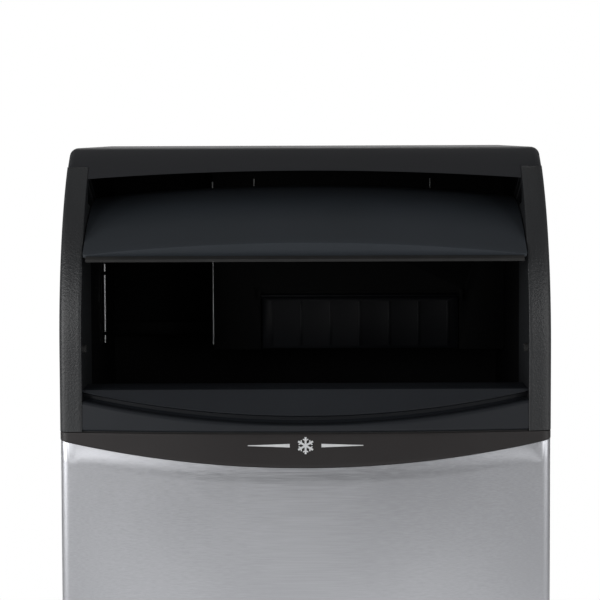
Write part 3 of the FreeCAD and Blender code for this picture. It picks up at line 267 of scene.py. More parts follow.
@dataclass(frozen=True)
class BrushedSteel:
    """Stainless sheet brushed one way, which draws highlights out square to the fine lines."""

    title: str
    bright: str
    dull: str
    roughness: float
    along: Along
    line_mm: float = 0.7
    run_mm: float = 90.0

    def build(self) -> bpy.types.Material:
        """Make the material.

        Returns:
            the steel, brushed along the grain direction.
        """
        material, tree, shader, coord = start_material(self.title)
        across, run = 1 / (self.line_mm * MM), 1 / (self.run_mm * MM)
        scales = {Along.ACROSS: (run, across, across), Along.UPRIGHT: (across, across, run),
                  Along.DEEP: (across, run, across)}
        stretch = add(tree, "ShaderNodeMapping", {"Scale": scales[self.along]},
                      {"Vector": coord.outputs["Object"]})
        lines = add(tree, "ShaderNodeTexNoise", {"Scale": 1.0, "Detail": 4.0, "Roughness": 0.65},
                    {"Vector": stretch.outputs["Vector"]})
        cloud = add(tree, "ShaderNodeTexNoise", {"Scale": 3.0, "Detail": 2.0},
                    {"Vector": coord.outputs["Object"]})
        fainter = add(tree, "ShaderNodeMath", {1: 0.75}, {0: lines.outputs["Fac"]}, operation="MULTIPLY")
        total = add(tree, "ShaderNodeMath", {}, {0: cloud.outputs["Fac"], 1: fainter.outputs["Value"]},
                    operation="ADD")
        # 1 / 1.75 brings the sum of the two patterns back to between 0 and 1
        mean = add(tree, "ShaderNodeMath", {1: 0.57}, {0: total.outputs["Value"]}, operation="MULTIPLY")
        shade = ramp_between(tree, mean.outputs["Value"], linear(self.dull), linear(self.bright), 0.4, 0.6)
        tree.links.new(shade, shader.inputs["Base Color"])
        tree.links.new(spread(tree, lines.outputs["Fac"], self.roughness - 0.05, self.roughness + 0.07),
                       shader.inputs["Roughness"])
        hills(tree, shader, lines.outputs["Fac"], 0.35, 0.02)
        tangent = add(tree, "ShaderNodeTangent", direction_type="RADIAL", axis="Z")
        tree.links.new(tangent.outputs["Tangent"], shader.inputs["Tangent"])
        shader.inputs["Metallic"].default_value = 1.0
        shader.inputs["Anisotropic"].default_value = 0.55
        return material


@dataclass(frozen=True)
class ZincSheet:
    """Hot-dip galvanised sheet, whose zinc crystals show as grey flakes a centimetre wide."""

    title: str
    light: str
    dark: str
    flake_mm: float = 11.0

    def build(self) -> bpy.types.Material:
        """Make the material.

        Returns:
            the zinc-coated sheet.
        """
        material, tree, shader, coord = start_material(self.title)
        flakes = add(tree, "ShaderNodeTexVoronoi", {"Scale": 1 / (self.flake_mm * MM)},
                     {"Vector": coord.outputs["Object"]})
        shade = add(tree, "ShaderNodeSeparateColor", links={"Color": flakes.outputs["Color"]})
        zinc = ramp_between(tree, shade.outputs["Red"], linear(self.dark), linear(self.light), 0.0, 1.0)
        tree.links.new(zinc, shader.inputs["Base Color"])
        tree.links.new(spread(tree, shade.outputs["Green"], 0.36, 0.5), shader.inputs["Roughness"])
        shader.inputs["Metallic"].default_value = 1.0
        return material


@dataclass(frozen=True)
class DrawnMetal:
    """Drawn, turned or plated metal: smooth, with a faint haze from handling."""

    title: str
    colour: str
    tarnish: str
    roughness: float
    haze_mm: float = 14.0

    def build(self) -> bpy.types.Material:
        """Make the material.

        Returns:
            the drawn metal.
        """
        material, tree, shader, coord = start_material(self.title)
        haze = add(tree, "ShaderNodeTexNoise", {"Scale": 1 / (self.haze_mm * MM), "Detail": 5.0},
                   {"Vector": coord.outputs["Object"]})
        tree.links.new(ramp_between(tree, haze.outputs["Fac"], linear(self.tarnish), linear(self.colour)),
                       shader.inputs["Base Color"])
        tree.links.new(spread(tree, haze.outputs["Fac"], self.roughness + 0.08, self.roughness),
                       shader.inputs["Roughness"])
        shader.inputs["Metallic"].default_value = 1.0
        return material


@dataclass(frozen=True)
class EnamelPaint:
    """Sprayed enamel over pressed steel, with the slight orange peel of a thick coat."""

    title: str
    colour: str
    roughness: float
    peel_mm: float = 2.5

    def build(self) -> bpy.types.Material:
        """Make the material.

        Returns:
            the paint.
        """
        material, tree, shader, coord = start_material(self.title)
        peel = add(tree, "ShaderNodeTexNoise", {"Scale": 1 / (self.peel_mm * MM), "Detail": 1.0},
                   {"Vector": coord.outputs["Object"]})
        base = linear(self.colour)
        dusty = (base[0] * 1.25, base[1] * 1.25, base[2] * 1.25, 1.0)
        tree.links.new(ramp_between(tree, peel.outputs["Fac"], base, dusty), shader.inputs["Base Color"])
        hills(tree, shader, peel.outputs["Fac"], 0.25, 0.05)
        shader.inputs["Roughness"].default_value = self.roughness
        shader.inputs["Coat Weight"].default_value = 0.4
        shader.inputs["Coat Roughness"].default_value = 0.1
        return material


@dataclass(frozen=True)
class SoftRubber:
    """Moulded rubber: matt, with a faint bloom that greys it in patches."""

    title: str
    colour: str
    bloom: str

    def build(self) -> bpy.types.Material:
        """Make the material.

        Returns:
            the rubber.
        """
        material, tree, shader, coord = start_material(self.title)
        bloom = add(tree, "ShaderNodeTexNoise", {"Scale": 60.0, "Detail": 6.0},
                    {"Vector": coord.outputs["Object"]})
        shade = ramp_between(tree, bloom.outputs["Fac"], linear(self.colour), linear(self.bloom), 0.4, 0.75)
        tree.links.new(shade, shader.inputs["Base Color"])
        hills(tree, shader, bloom.outputs["Fac"], 0.3, 0.1)
        shader.inputs["Roughness"].default_value = 0.78
        return material


@dataclass(frozen=True)
class StudioPaper:
    """Matt pale paper for the studio floor, faintly lit so that it stays pale far from the lights."""

    title: str
    base: str
    glow: float

    def build(self) -> bpy.types.Material:
        """Make the material.

        Returns:
            the paper of the floor.
        """
        material, tree, shader, _ = start_material(self.title)
        shader.inputs["Base Color"].default_value = linear(self.base)
        shader.inputs["Roughness"].default_value = 0.95
        shader.inputs["Specular IOR Level"].default_value = 0.1
        shader.inputs["Emission Color"].default_value = linear(self.base)
        shader.inputs["Emission Strength"].default_value = self.glow
        return material


@dataclass(frozen=True)
class FoamBoard:
    """Polyurethane insulation foam: matt, full of small closed cells."""

    title: str
    colour: str
    cell: str
    cell_mm: float = 1.2

    def build(self) -> bpy.types.Material:
        """Make the material.

        Returns:
            the foam.
        """
        material, tree, shader, coord = start_material(self.title)
        cells = add(tree, "ShaderNodeTexVoronoi", {"Scale": 1 / (self.cell_mm * MM)},
                    {"Vector": coord.outputs["Object"]})
        shade = ramp_between(tree, cells.outputs["Distance"], linear(self.cell), linear(self.colour),
                             0.0, 0.6)
        tree.links.new(shade, shader.inputs["Base Color"])
        hills(tree, shader, cells.outputs["Distance"], 0.5, 0.4)
        shader.inputs["Roughness"].default_value = 0.9
        return material


# ABS from a coarsely etched mould: small soft pits that sparkle at a low angle; drawn 1.7 mm wide to show,
# where the real grain is nearer 0.5 mm
BLACK_GRAIN = MouldedPlastic("textured_black_abs", "17181A", "1B1D1F", 0.42, 1.7, 0.38, specular=0.4)
# satin ABS with a hair-fine grain: a smooth blue-black sheen with no sharp highlight
BLACK_SATIN = MouldedPlastic("satin_black_abs", "262A2E", "2A2E33", 0.48, 0.5, 0.02, specular=0.16)
# ABS with a fine grain: a little deeper black than the door, so the crescent reads apart from it
BLACK_SILL = MouldedPlastic("fine_grain_black_abs", "181A1E", "1C1F23", 0.45, 0.6, 0.04, specular=0.22)
# ABS with a fine grain, a shade more neutral, for the large cover
BLACK_COVER = MouldedPlastic("fine_grain_black_cover_abs", "1A1B1E", "1E1F22", 0.48, 0.6, 0.04, specular=0.22)
# smooth ABS trim: a faintly warm black with the clearest reflection of the mouldings
WARM_BLACK = MouldedPlastic("smooth_warm_black_abs", "1C1919", "211E1E", 0.38, 0.5, 0.015, specular=0.32)
# vacuum-formed black liner, coloured far darker than black plastic: its own black plus painted shade of the
# deep bin
LINER_BLACK_PAINTED_SHADE = MouldedPlastic("black_liner_painted_bin_shade", "060607", "08080A", 0.6, 1.4, 0.03, specular=0.12)
# moulded black housing and the other pieces in the bin, coloured far darker than black plastic: their own
# black plus painted shade of the bin; only their edges show
HOUSING_BLACK_PAINTED_SHADE = MouldedPlastic("black_housing_painted_bin_shade", "070809", "0A0B0C", 0.6, 0.8, 0.05, specular=0.12)
# nylon track in the shade beside the door: just lighter than the cheek
INNER_GREY = MouldedPlastic("shaded_grey_nylon", "141517", "191A1C", 0.6, 0.6, 0.05, specular=0.15)
# glass-filled nylon: dull mid grey of working parts
GREY_NYLON = MouldedPlastic("grey_glass_filled_nylon", "4A4D50", "5A5D60", 0.55, 0.6, 0.05)
# natural acetal: milky white and slippery
WHITE_NYLON = MouldedPlastic("natural_acetal", "D8D6CC", "E2E0D8", 0.4, 0.8, 0.02)
# smoked curtain plastic: a blue-black flap with a soft gloss
CURTAIN_BLUE = MouldedPlastic("smoked_curtain_plastic", "0B0D11", "0F1116", 0.4, 1.0, 0.01, specular=0.2)
# slate polycarbonate: clear gloss on a blue grey
SCOOP_BLUE = MouldedPlastic("slate_polycarbonate", "4E5C6A", "596877", 0.25, 0.8, 0.01)
# glass epoxy circuit board: green with a lacquer gloss
GREEN_BOARD = MouldedPlastic("glass_epoxy_circuit_board", "0E4A28", "145A32", 0.35, 0.7, 0.02)
# green rocker: glossy and slightly uneven
SWITCH_GREEN = MouldedPlastic("translucent_green_rocker", "1B5A30", "22693A", 0.2, 0.8, 0.01)
# stainless sheet, No. 4 finish with lines across: draws highlights out up and down; the lines are drawn
# 0.7 mm apart to show, where the real ones are nearer 0.1 mm
FRONT_STEEL = BrushedSteel("stainless_brushed_across", "B2B3B7", "A0A1A5", 0.33, Along.ACROSS)
# the same sheet with its lines from front to back, a little duller
SIDE_STEEL = BrushedSteel("stainless_brushed_deep", "ABACAD", "9A9B9C", 0.36, Along.DEEP)
# stainless tube polished round: short fine rings
LEG_STEEL = BrushedSteel("stainless_brushed_round", "A8A9AA", "97989A", 0.3, Along.ACROSS, 0.6, 40.0)
# hot-dip galvanised sheet: grey crystal flakes about a centimetre wide
GALVANISED = ZincSheet("galvanised_spangle_sheet", "A9ACAE", "83878A")
# bright zinc plate: the white-silver glint of screws, feet and clips
ZINC_BRIGHT = DrawnMetal("bright_zinc_plate", "B9BABB", "9C9D9E", 0.28)
# ground steel rod: a narrow bright highlight along its length
ROD_STEEL = DrawnMetal("ground_steel_rod", "AEAFB1", "9B9C9E", 0.18)
# nickel plate on copper: a warm silver
NICKEL = DrawnMetal("nickel_plated_copper", "B4B0A8", "9E9A92", 0.22)
# drawn copper tube: orange brown, darker where handled
COPPER = DrawnMetal("drawn_copper_tube", "B8704E", "8A4B34", 0.25)
# turned brass: dull yellow
BRASS = DrawnMetal("turned_brass", "B38A4A", "96713A", 0.3)
# satin anodised aluminium: an even, very pale silver for the emblem
SATIN_METAL = DrawnMetal("satin_anodised_aluminium", "E4E5E7", "D6D7D9", 0.34, 30.0)
# rolled fin aluminium: flat light grey
FIN_METAL = DrawnMetal("rolled_fin_aluminium", "B0B2B4", "9A9C9E", 0.35)
# enamel on a pressed shell: glossy black with a slight orange peel
BLACK_ENAMEL = EnamelPaint("black_compressor_enamel", "0F0F10", 0.3)
# moulded rubber: the darkest matt black, for seals, bumpers and the parting joint
BLACK_RUBBER = SoftRubber("black_moulded_rubber", "0C0C0C", "141414")
# hidden foam, coloured near black as painted shade, so that the gaps where the eye sees in read dark
FOAM_PAINTED_GAP_SHADE = FoamBoard("polyurethane_foam_painted_gap_shade", "1C1C1D", "141415")
# matt paper: a plain pale ground
STUDIO_FLOOR = StudioPaper("pale_studio_paper", "F2F2F2", 0.25)

_BUILT: dict[str, bpy.types.Material] = {}


def finish_of(finish: object) -> bpy.types.Material:
    """Return the material of a finish, made once."""
    if finish.title not in _BUILT:
        _BUILT[finish.title] = finish.build()
    return _BUILT[finish.title]


# ------------------------------------------------------------------ mesh helpers


def new_object(
    name: str, verts: Sequence[Sequence[float]], faces: Sequence[Sequence[int]]
) -> bpy.types.Object:
    """Make a mesh object and link it to the scene.

    Args:
        name: the object's name, and its mesh's.
        verts: the corners, in metres.
        faces: each face's corners, counted from nought.

    Returns:
        the object, at the origin.
    """
    mesh = bpy.data.meshes.new(name)
    mesh.from_pydata([tuple(v) for v in verts], [], [tuple(f) for f in faces])
    obj = bpy.data.objects.new(name, mesh)
    bpy.context.scene.collection.objects.link(obj)
    return obj


def mark_sharp(mesh: bpy.types.Mesh, degrees: float) -> None:
    """Shade a mesh smooth, except across its sharper edges.

    Args:
        mesh: the mesh to shade.
        degrees: the turn across an edge past which it stays sharp.
    """
    bm = bmesh.new()
    bm.from_mesh(mesh)
    limit = math.radians(degrees)
    for face in bm.faces:
        face.smooth = True
    for edge in bm.edges:
        edge.smooth = len(edge.link_faces) == 2 and edge.calc_face_angle(4.0) < limit
    bm.to_mesh(mesh)
    bm.free()


def bake_modifiers(obj: bpy.types.Object) -> None:
    """Turn the modified shape into the object's own mesh and drop the modifiers.

    Args:
        obj: the object to change.
    """
    bpy.context.view_layer.update()
    evaluated = obj.evaluated_get(bpy.context.evaluated_depsgraph_get())
    mesh = bpy.data.meshes.new_from_object(evaluated)
    old = obj.data
    obj.modifiers.clear()
    obj.data = mesh
    if old.users == 0:
        bpy.data.meshes.remove(old)


def soften(obj: bpy.types.Object, width_mm: float, segments: int = 2, degrees: float = 30.0) -> None:
    """Round the edges of a piece that turn by more than the angle.

    Args:
        obj: the piece.
        width_mm: width of the rounding.
        segments: steps in the rounding.
        degrees: smallest turn that is rounded.
    """
    modifier = obj.modifiers.new("edges", "BEVEL")
    modifier.width = width_mm * MM
    modifier.segments = segments
    modifier.limit_method = "ANGLE"
    modifier.angle_limit = math.radians(degrees)
    modifier.use_clamp_overlap = True
    bake_modifiers(obj)


def give(obj: bpy.types.Object, finish: object) -> None:
    """Make a finish the piece's only material."""
    obj.data.materials.clear()
    obj.data.materials.append(finish_of(finish))


def body_of_node(frame: dict, node: str) -> str:
    """Return the name of the body that a frame node belongs to."""
    for body, nodes in frame["record"]["behaviour"]["bodies"].items():
        if node in nodes:
            return body
    raise KeyError(node)


def report(name: str, obj: bpy.types.Object) -> None:
    """Log a piece and its size in faces."""
    LOG.info("%s: %d faces", name, len(obj.data.polygons))


def dress(frame: dict, node: str, finish: object) -> None:
    """Give a frame node, whose shape stays, its finish."""
    give(frame["nodes"][node], finish)
    report(node, frame["nodes"][node])


def refine(frame: dict, node: str, name: str, finish: object, edge_mm: float = 0.6, smooth: float = 32.0,
           segments: int = 2) -> bpy.types.Object:
    """Stand a finer copy in for a frame node: merged, its edges rounded and its curves shaded smooth.

    Args:
        frame: the loaded frame.
        node: the node that is replaced.
        name: the new piece's name.
        finish: its finish.
        edge_mm: width of the rounded edges, or zero for none.
        smooth: largest turn in degrees that is shaded as one curve.
        segments: steps in the rounding.

    Returns:
        The new piece.
    """
    mesh = frame["nodes"][node].data.copy()
    mesh.name = name
    bm = bmesh.new()
    bm.from_mesh(mesh)
    bmesh.ops.remove_doubles(bm, verts=bm.verts, dist=0.005 * MM)
    bmesh.ops.dissolve_limit(bm, angle_limit=math.radians(0.4), verts=bm.verts, edges=bm.edges)
    bm.to_mesh(mesh)
    bm.free()
    obj = bpy.data.objects.new(name, mesh)
    bpy.context.scene.collection.objects.link(obj)
    if edge_mm > 0:
        soften(obj, edge_mm, segments, smooth)
    mark_sharp(obj.data, smooth)
    give(obj, finish)
    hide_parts(node)
    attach(obj, body_of_node(frame, node))
    report(name, obj)
    return obj


def settle(obj: bpy.types.Object, body: str, finish: object, nodes: Iterable[str] = (),
           smooth: float = 32.0) -> bpy.types.Object:
    """Finish a piece: shading, material, what it replaces and the body it rides on.

    Args:
        obj: the piece.
        body: the body it rides on.
        finish: its finish.
        nodes: frame nodes that it stands for.
        smooth: largest turn in degrees that is shaded as one curve.

    Returns:
        The same piece.
    """
    mark_sharp(obj.data, smooth)
    give(obj, finish)
    for node in nodes:
        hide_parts(node)
    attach(obj, body)
    report(obj.name, obj)
    return obj


def loft(name: str, rings: Sequence[Sequence[Vector]], cap: bool = True) -> bpy.types.Object:
    """Skin closed rings of equal length, in order, into a closed solid.

    Args:
        name: the piece's name.
        rings: rings of points in metres.
        cap: close the two ends.

    Returns:
        The new object, faces outwards.
    """
    count = len(rings[0])
    verts = [p for ring in rings for p in ring]
    faces = []
    for low in range(0, (len(rings) - 1) * count, count):
        high = low + count
        faces += [[low + i, low + (i + 1) % count, high + (i + 1) % count, high + i] for i in range(count)]
    if cap:
        faces.append(list(range(count))[::-1])
        faces.append([(len(rings) - 1) * count + i for i in range(count)])
    obj = new_object(name, verts, faces)
    bm = bmesh.new()
    bm.from_mesh(obj.data)
    bmesh.ops.remove_doubles(bm, verts=bm.verts, dist=0.002 * MM)
    bmesh.ops.recalc_face_normals(bm, faces=bm.faces)
    bm.to_mesh(obj.data)
    bm.free()
    return obj


def arc_between(centre: Point, radius: float, start: float, end: float, steps: int) -> list[Point]:
    """Points on an arc in a plane, angles in degrees, both ends included."""
    return [(centre[0] + radius * math.cos(math.radians(start + (end - start) * i / steps)),
             centre[1] + radius * math.sin(math.radians(start + (end - start) * i / steps)))
            for i in range(steps + 1)]


# ------------------------------------------------------------------ geometry node trees


def open_tree(
    title: str, sizes: dict[str, float], takes_mesh: bool = False
) -> tuple[bpy.types.NodeTree, bpy.types.Node]:
    """Start a geometry node tree whose sizes are named inputs.

    Args:
        title: the tree's name.
        sizes: input names and starting values; whole numbers make counts.
        takes_mesh: whether the tree reads the object's own mesh.

    Returns:
        The tree and its Group Input node.
    """
    tree = bpy.data.node_groups.new(title, "GeometryNodeTree")
    if takes_mesh:
        tree.interface.new_socket("Geometry", in_out="INPUT", socket_type="NodeSocketGeometry")
    for name, value in sizes.items():
        kind = "NodeSocketInt" if isinstance(value, int) else "NodeSocketFloat"
        tree.interface.new_socket(name, in_out="INPUT", socket_type=kind).default_value = value
    tree.interface.new_socket("Geometry", in_out="OUTPUT", socket_type="NodeSocketGeometry")
    return tree, add(tree, "NodeGroupInput")


def close_tree(tree: bpy.types.NodeTree, shape: bpy.types.NodeSocket, finish: object) -> None:
    """End a tree in Realize Instances, Set Material and the output.

    Args:
        tree: the geometry node tree.
        shape: the output that holds the finished shape.
        finish: the finish it is given.
    """
    real = add(tree, "GeometryNodeRealizeInstances", links={"Geometry": shape})
    painted = add(tree, "GeometryNodeSetMaterial", {"Material": finish_of(finish)},
                  {"Geometry": real.outputs["Geometry"]})
    add(tree, "NodeGroupOutput", links={"Geometry": painted.outputs["Geometry"]})


def grow(name: str, tree: bpy.types.NodeTree, values: dict[str, float],
         source: bpy.types.Mesh | None = None) -> bpy.types.Object:
    """Evaluate a tree with its sizes and keep the result as a plain mesh.

    Args:
        name: the piece's name.
        tree: the geometry node tree.
        values: input names and values, lengths in metres.
        source: mesh that the tree starts from.

    Returns:
        An object without modifiers.
    """
    obj = bpy.data.objects.new(name, source or bpy.data.meshes.new(name))
    bpy.context.scene.collection.objects.link(obj)
    modifier = obj.modifiers.new("shape", "NODES")
    modifier.node_group = tree
    for item in tree.interface.items_tree:
        if item.in_out == "INPUT" and item.name in values:
            modifier[item.identifier] = values[item.name]
    bake_modifiers(obj)
    return obj


def vector_of(tree: bpy.types.NodeTree, given: bpy.types.Node, word: str) -> bpy.types.NodeSocket:
    """Combine the inputs 'word X', 'word Y' and 'word Z' into a vector and return the output."""
    node = add(tree, "ShaderNodeCombineXYZ", links={axis: given.outputs[f"{word} {axis}"] for axis in "XYZ"})
    return node.outputs["Vector"]


def bar_row_tree(title: str, finish: object) -> bpy.types.NodeTree:
    """Build the tree for equal bars, fins or wires set side by side along one line.

    Args:
        title: the tree's name.
        finish: the bars' finish.

    Returns:
        The tree, with the inputs Count, Start, Step and Size.
    """
    sizes = {"Count": 10}
    sizes |= {f"{word} {axis}": 0.01 for word in ("Start", "Step", "Size") for axis in "XYZ"}
    tree, given = open_tree(title, sizes)
    line = add(tree, "GeometryNodeMeshLine", {}, {
        "Count": given.outputs["Count"], "Start Location": vector_of(tree, given, "Start"),
        "Offset": vector_of(tree, given, "Step")}, mode="OFFSET")
    bar = add(tree, "GeometryNodeMeshCube", {}, {"Size": vector_of(tree, given, "Size")})
    placed = add(tree, "GeometryNodeInstanceOnPoints", {},
                 {"Points": line.outputs["Mesh"], "Instance": bar.outputs["Mesh"]})
    close_tree(tree, placed.outputs["Instances"], finish)
    return tree


def bar_row(name: str, tree: bpy.types.NodeTree, count: int, start: Sequence[float], step: Sequence[float],
            size: Sequence[float]) -> bpy.types.Object:
    """Make a row of bars.

    Args:
        name: the row's name.
        tree: a tree from bar_row_tree.
        count: how many bars.
        start: middle of the first bar in metres.
        step: from one bar to the next.
        size: width, depth and height of a bar.

    Returns:
        The row as one plain mesh.
    """
    values: dict[str, float] = {"Count": count}
    for word, vector in (("Start", start), ("Step", step), ("Size", size)):
        values |= {f"{word} {axis}": float(part) for axis, part in zip("XYZ", vector)}
    return grow(name, tree, values)


def tube_tree(title: str, finish: object) -> bpy.types.NodeTree:
    """Build the tree for a bent tube that follows the edges it is given, with rounded bends.

    Args:
        title: the tree's name.
        finish: the tube's finish.

    Returns:
        The tree, with the inputs Radius and Bend.
    """
    tree, given = open_tree(title, {"Radius": 0.004, "Bend": 0.012}, takes_mesh=True)
    curve = add(tree, "GeometryNodeMeshToCurve", {}, {"Mesh": given.outputs["Geometry"]})
    bent = add(tree, "GeometryNodeFilletCurve", {"Count": 7},
               {"Curve": curve.outputs["Curve"], "Radius": given.outputs["Bend"]}, mode="POLY")
    ring = add(tree, "GeometryNodeCurvePrimitiveCircle", {"Resolution": 14},
               {"Radius": given.outputs["Radius"]})
    tube = add(tree, "GeometryNodeCurveToMesh", {"Fill Caps": True},
               {"Curve": bent.outputs["Curve"], "Profile Curve": ring.outputs["Curve"]})
    smooth = add(tree, "GeometryNodeSetShadeSmooth", {}, {"Geometry": tube.outputs["Mesh"]})
    close_tree(tree, smooth.outputs["Geometry"], finish)
    return tree


def screw_tree(title: str, finish: object) -> bpy.types.NodeTree:
    """Build the tree for low cross-recessed heads, one on each point, turned to its stored direction.

    Args:
        title: the tree's name.
        finish: the heads' finish.

    Returns:
        The tree, with the inputs Radius, Height and Slot.
    """
    tree, given = open_tree(title, {"Radius": 0.0035, "Height": 0.0012, "Slot": 0.0009}, takes_mesh=True)
    radius, height, slot = (given.outputs[word] for word in ("Radius", "Height", "Slot"))
    head = add(tree, "GeometryNodeMeshCone", {"Vertices": 28}, {"Depth": height, "Radius Bottom": radius})
    top = add(tree, "ShaderNodeMath", {1: 0.72}, {0: radius}, operation="MULTIPLY")
    tree.links.new(top.outputs["Value"], head.inputs["Radius Top"])
    arm = add(tree, "ShaderNodeMath", {1: 1.1}, {0: radius}, operation="MULTIPLY").outputs["Value"]
    up = add(tree, "ShaderNodeCombineXYZ", {}, {"Z": height})
    recessed = add(tree, "GeometryNodeMeshBoolean", {}, {0: head.outputs["Mesh"]}, operation="DIFFERENCE")
    for wide, deep in ((arm, slot), (slot, arm)):
        size = add(tree, "ShaderNodeCombineXYZ", {}, {"X": wide, "Y": deep, "Z": height})
        cube = add(tree, "GeometryNodeMeshCube", {}, {"Size": size.outputs["Vector"]})
        cut = add(tree, "GeometryNodeTransform", {},
                  {"Geometry": cube.outputs["Mesh"], "Translation": up.outputs["Vector"]})
        tree.links.new(cut.outputs["Geometry"], recessed.inputs[1])
    facing = add(tree, "GeometryNodeInputNamedAttribute", {"Name": "facing"}, data_type="FLOAT_VECTOR")
    turn = add(tree, "FunctionNodeAlignRotationToVector", {}, {"Vector": facing.outputs["Attribute"]},
               axis="Z")
    placed = add(tree, "GeometryNodeInstanceOnPoints", {},
                 {"Points": given.outputs["Geometry"], "Instance": recessed.outputs["Mesh"],
                  "Rotation": turn.outputs["Rotation"]})
    close_tree(tree, placed.outputs["Instances"], finish)
    return tree


def join(name: str, parts: Sequence[bpy.types.Object]) -> bpy.types.Object:
    """Merge pieces into one mesh and remove the originals.

    Args:
        name: the joined piece's name.
        parts: objects without modifiers.

    Returns:
        The joined object.
    """
    bm = bmesh.new()
    for part in parts:
        bm.from_mesh(part.data)
    mesh = bpy.data.meshes.new(name)
    bm.to_mesh(mesh)
    bm.free()
    for part in parts:
        bpy.data.objects.remove(part)
    obj = bpy.data.objects.new(name, mesh)
    bpy.context.scene.collection.objects.link(obj)
    return obj


def path_mesh(points: Sequence[Sequence[float]]) -> bpy.types.Mesh:
    """Make a mesh of one open run of edges.

    Args:
        points: the run's points in order, in metres.

    Returns:
        the mesh, with edges alone.
    """
    mesh = bpy.data.meshes.new("path")
    mesh.from_pydata([tuple(p) for p in points], [(i, i + 1) for i in range(len(points) - 1)], [])
    return mesh


def islands(obj: bpy.types.Object) -> list[tuple[Vector, Vector]]:
    """Find the loose parts of an object's mesh, nearby corners taken as one.

    Args:
        obj: the object to read.

    Returns:
        each part's low and high corner, in metres.
    """
    bm = bmesh.new()
    bm.from_mesh(obj.data)
    bmesh.ops.remove_doubles(bm, verts=bm.verts, dist=0.005 * MM)
    seen: set[bmesh.types.BMVert] = set()
    found = []
    for first in bm.verts:
        if first in seen:
            continue
        stack, low, high = [first], first.co.copy(), first.co.copy()
        seen.add(first)
        while stack:
            vert = stack.pop()
            low = Vector(map(min, low, vert.co))
            high = Vector(map(max, high, vert.co))
            for edge in vert.link_edges:
                other = edge.other_vert(vert)
                if other not in seen:
                    seen.add(other)
                    stack.append(other)
        found.append((low, high))
    bm.free()
    return found


# ------------------------------------------------------------------ the shared shape of the front


@dataclass(frozen=True)
class FrontForm:
    """Sizes in millimetres that the cover, cheeks, door, sill, trim and panel share.

    Depth s is counted back from the front-most plane of the machine.
    """

    half_width: float
    depth: float
    height: float
    nose_radius: float = 290.0
    nose_drop: float = 250.0
    bow_sag: float = 20.0
    corner: float = 12.0
    cheek_width: float = 28.5

    @property
    def nose_z(self) -> float:
        """Height of the centre of the curved nose."""
        return self.height - self.nose_drop

    @property
    def opening(self) -> float:
        """Half the width between the cheeks."""
        return self.half_width - self.cheek_width

    @property
    def bow_radius(self) -> float:
        """Radius of the bowed front, seen from above."""
        half = self.half_width - 15.0
        return (half**2 + self.bow_sag**2) / (2 * self.bow_sag)

    def bow(self, x: float) -> float:
        """How far the front has fallen back at x."""
        return self.bow_radius - math.sqrt(self.bow_radius**2 - x * x)

    def profile(self, off: float, z: float) -> float:
        """Find the depth of the side profile.

        Args:
            off: how far the profile is moved in, in millimetres.
            z: the height, in millimetres.

        Returns:
            the depth, in millimetres.
        """
        if z <= self.nose_z:
            return off
        r = self.nose_radius
        return r - math.sqrt(max((r - off) ** 2 - (z - self.nose_z) ** 2, 0.0))

    def on_nose(self, off: float, degrees: float) -> Point:
        """Find a point on the nose.

        Args:
            off: how far the nose is moved in, in millimetres.
            degrees: the angle up from level.

        Returns:
            the point's depth and height, in millimetres.
        """
        a = math.radians(degrees)
        r = self.nose_radius
        return (r - (r - off) * math.cos(a), self.nose_z + (r - off) * math.sin(a))

    def arch(self, x: float, end: float, middle: float, half: float) -> float:
        """Find the height of a circular arc across the front.

        Args:
            x: the place across, from the centre, in millimetres.
            end: the arc's height at its two ends.
            middle: its height in the centre.
            half: half of its width.

        Returns:
            the height at x, in millimetres.
        """
        rise = middle - end
        radius = (half**2 + rise**2) / (2 * abs(rise))
        fall = radius - math.sqrt(radius**2 - x * x)
        return middle - math.copysign(fall, rise)

    def at(self, x: float, s: float, z: float) -> Vector:
        """A point in metres in the frame from x, depth s and height z in millimetres."""
        return Vector((x * MM, (s - self.depth / 2) * MM, z * MM))

    def plan_path(self, off: float, side_end: float, steps: int) -> list[tuple[float, float, float, float]]:
        """Walk round the front from above: left return, corner, bow, corner, right return.

        Args:
            off: how far inside the outermost shape.
            side_end: depth where the side returns end.
            steps: steps across the bow.

        Returns:
            Points as x, s and the outward direction's x and s.
        """
        hw = self.half_width - off
        r = self.corner - off
        ends = self.bow(self.half_width) + off
        tilt = math.degrees(math.asin((hw - r) / self.bow_radius))
        path: list[tuple[float, float, float, float]] = []
        for x in [-(hw - r) + 2 * (hw - r) * i / steps for i in range(steps + 1)]:
            nx, ns = x / self.bow_radius, -math.sqrt(1 - (x / self.bow_radius) ** 2)
            path.append((x, self.bow(x) + off, nx, ns))
        centre_s = self.bow(hw - r) + off + r * math.cos(math.radians(tilt))
        centre_x = (hw - r) - r * math.sin(math.radians(tilt))
        scale = (hw - centre_x) / r
        right = []
        for i in range(1, 9):
            a = math.radians(tilt + (90 - tilt) * i / 8)
            nx, ns = math.sin(a), -math.cos(a)
            right.append((centre_x + r * scale * nx, centre_s + r * ns, nx, ns))
        right += [(hw, s, 1.0, 0.0) for s in (max(ends, centre_s) + 4, side_end)]
        left = [(-x, s, -nx, ns) for x, s, nx, ns in reversed(right)]
        return left + path + right


def wrapped_shell(form: FrontForm, name: str, off: float, thick: float, low: Callable[[float], float],
                  high: Callable[[float], float], rows: int = 6, steps: int = 72) -> bpy.types.Object:
    """Wrap a thin wall round the bowed front and its rounded corners.

    Args:
        form: the shared shape.
        name: the piece's name.
        off: how far the outer face is inside the outermost shape.
        thick: wall thickness.
        low: height of the lower edge at x.
        high: height of the upper edge at x.
        rows: faces from the lower to the upper edge.
        steps: faces across the bow.

    Returns:
        The closed shell.
    """
    rings = []
    for x, s, nx, ns in form.plan_path(off, 34.0, steps):
        z0, z1 = low(x), high(x)
        outer = [form.at(x, s, z0 + (z1 - z0) * i / rows) for i in range(rows + 1)]
        inner = [form.at(x - nx * thick, s - ns * thick, z0 + (z1 - z0) * i / rows) for i in range(rows + 1)]
        rings.append(outer + inner[::-1])
    return loft(name, rings)


# ------------------------------------------------------------------ sub-assemblies


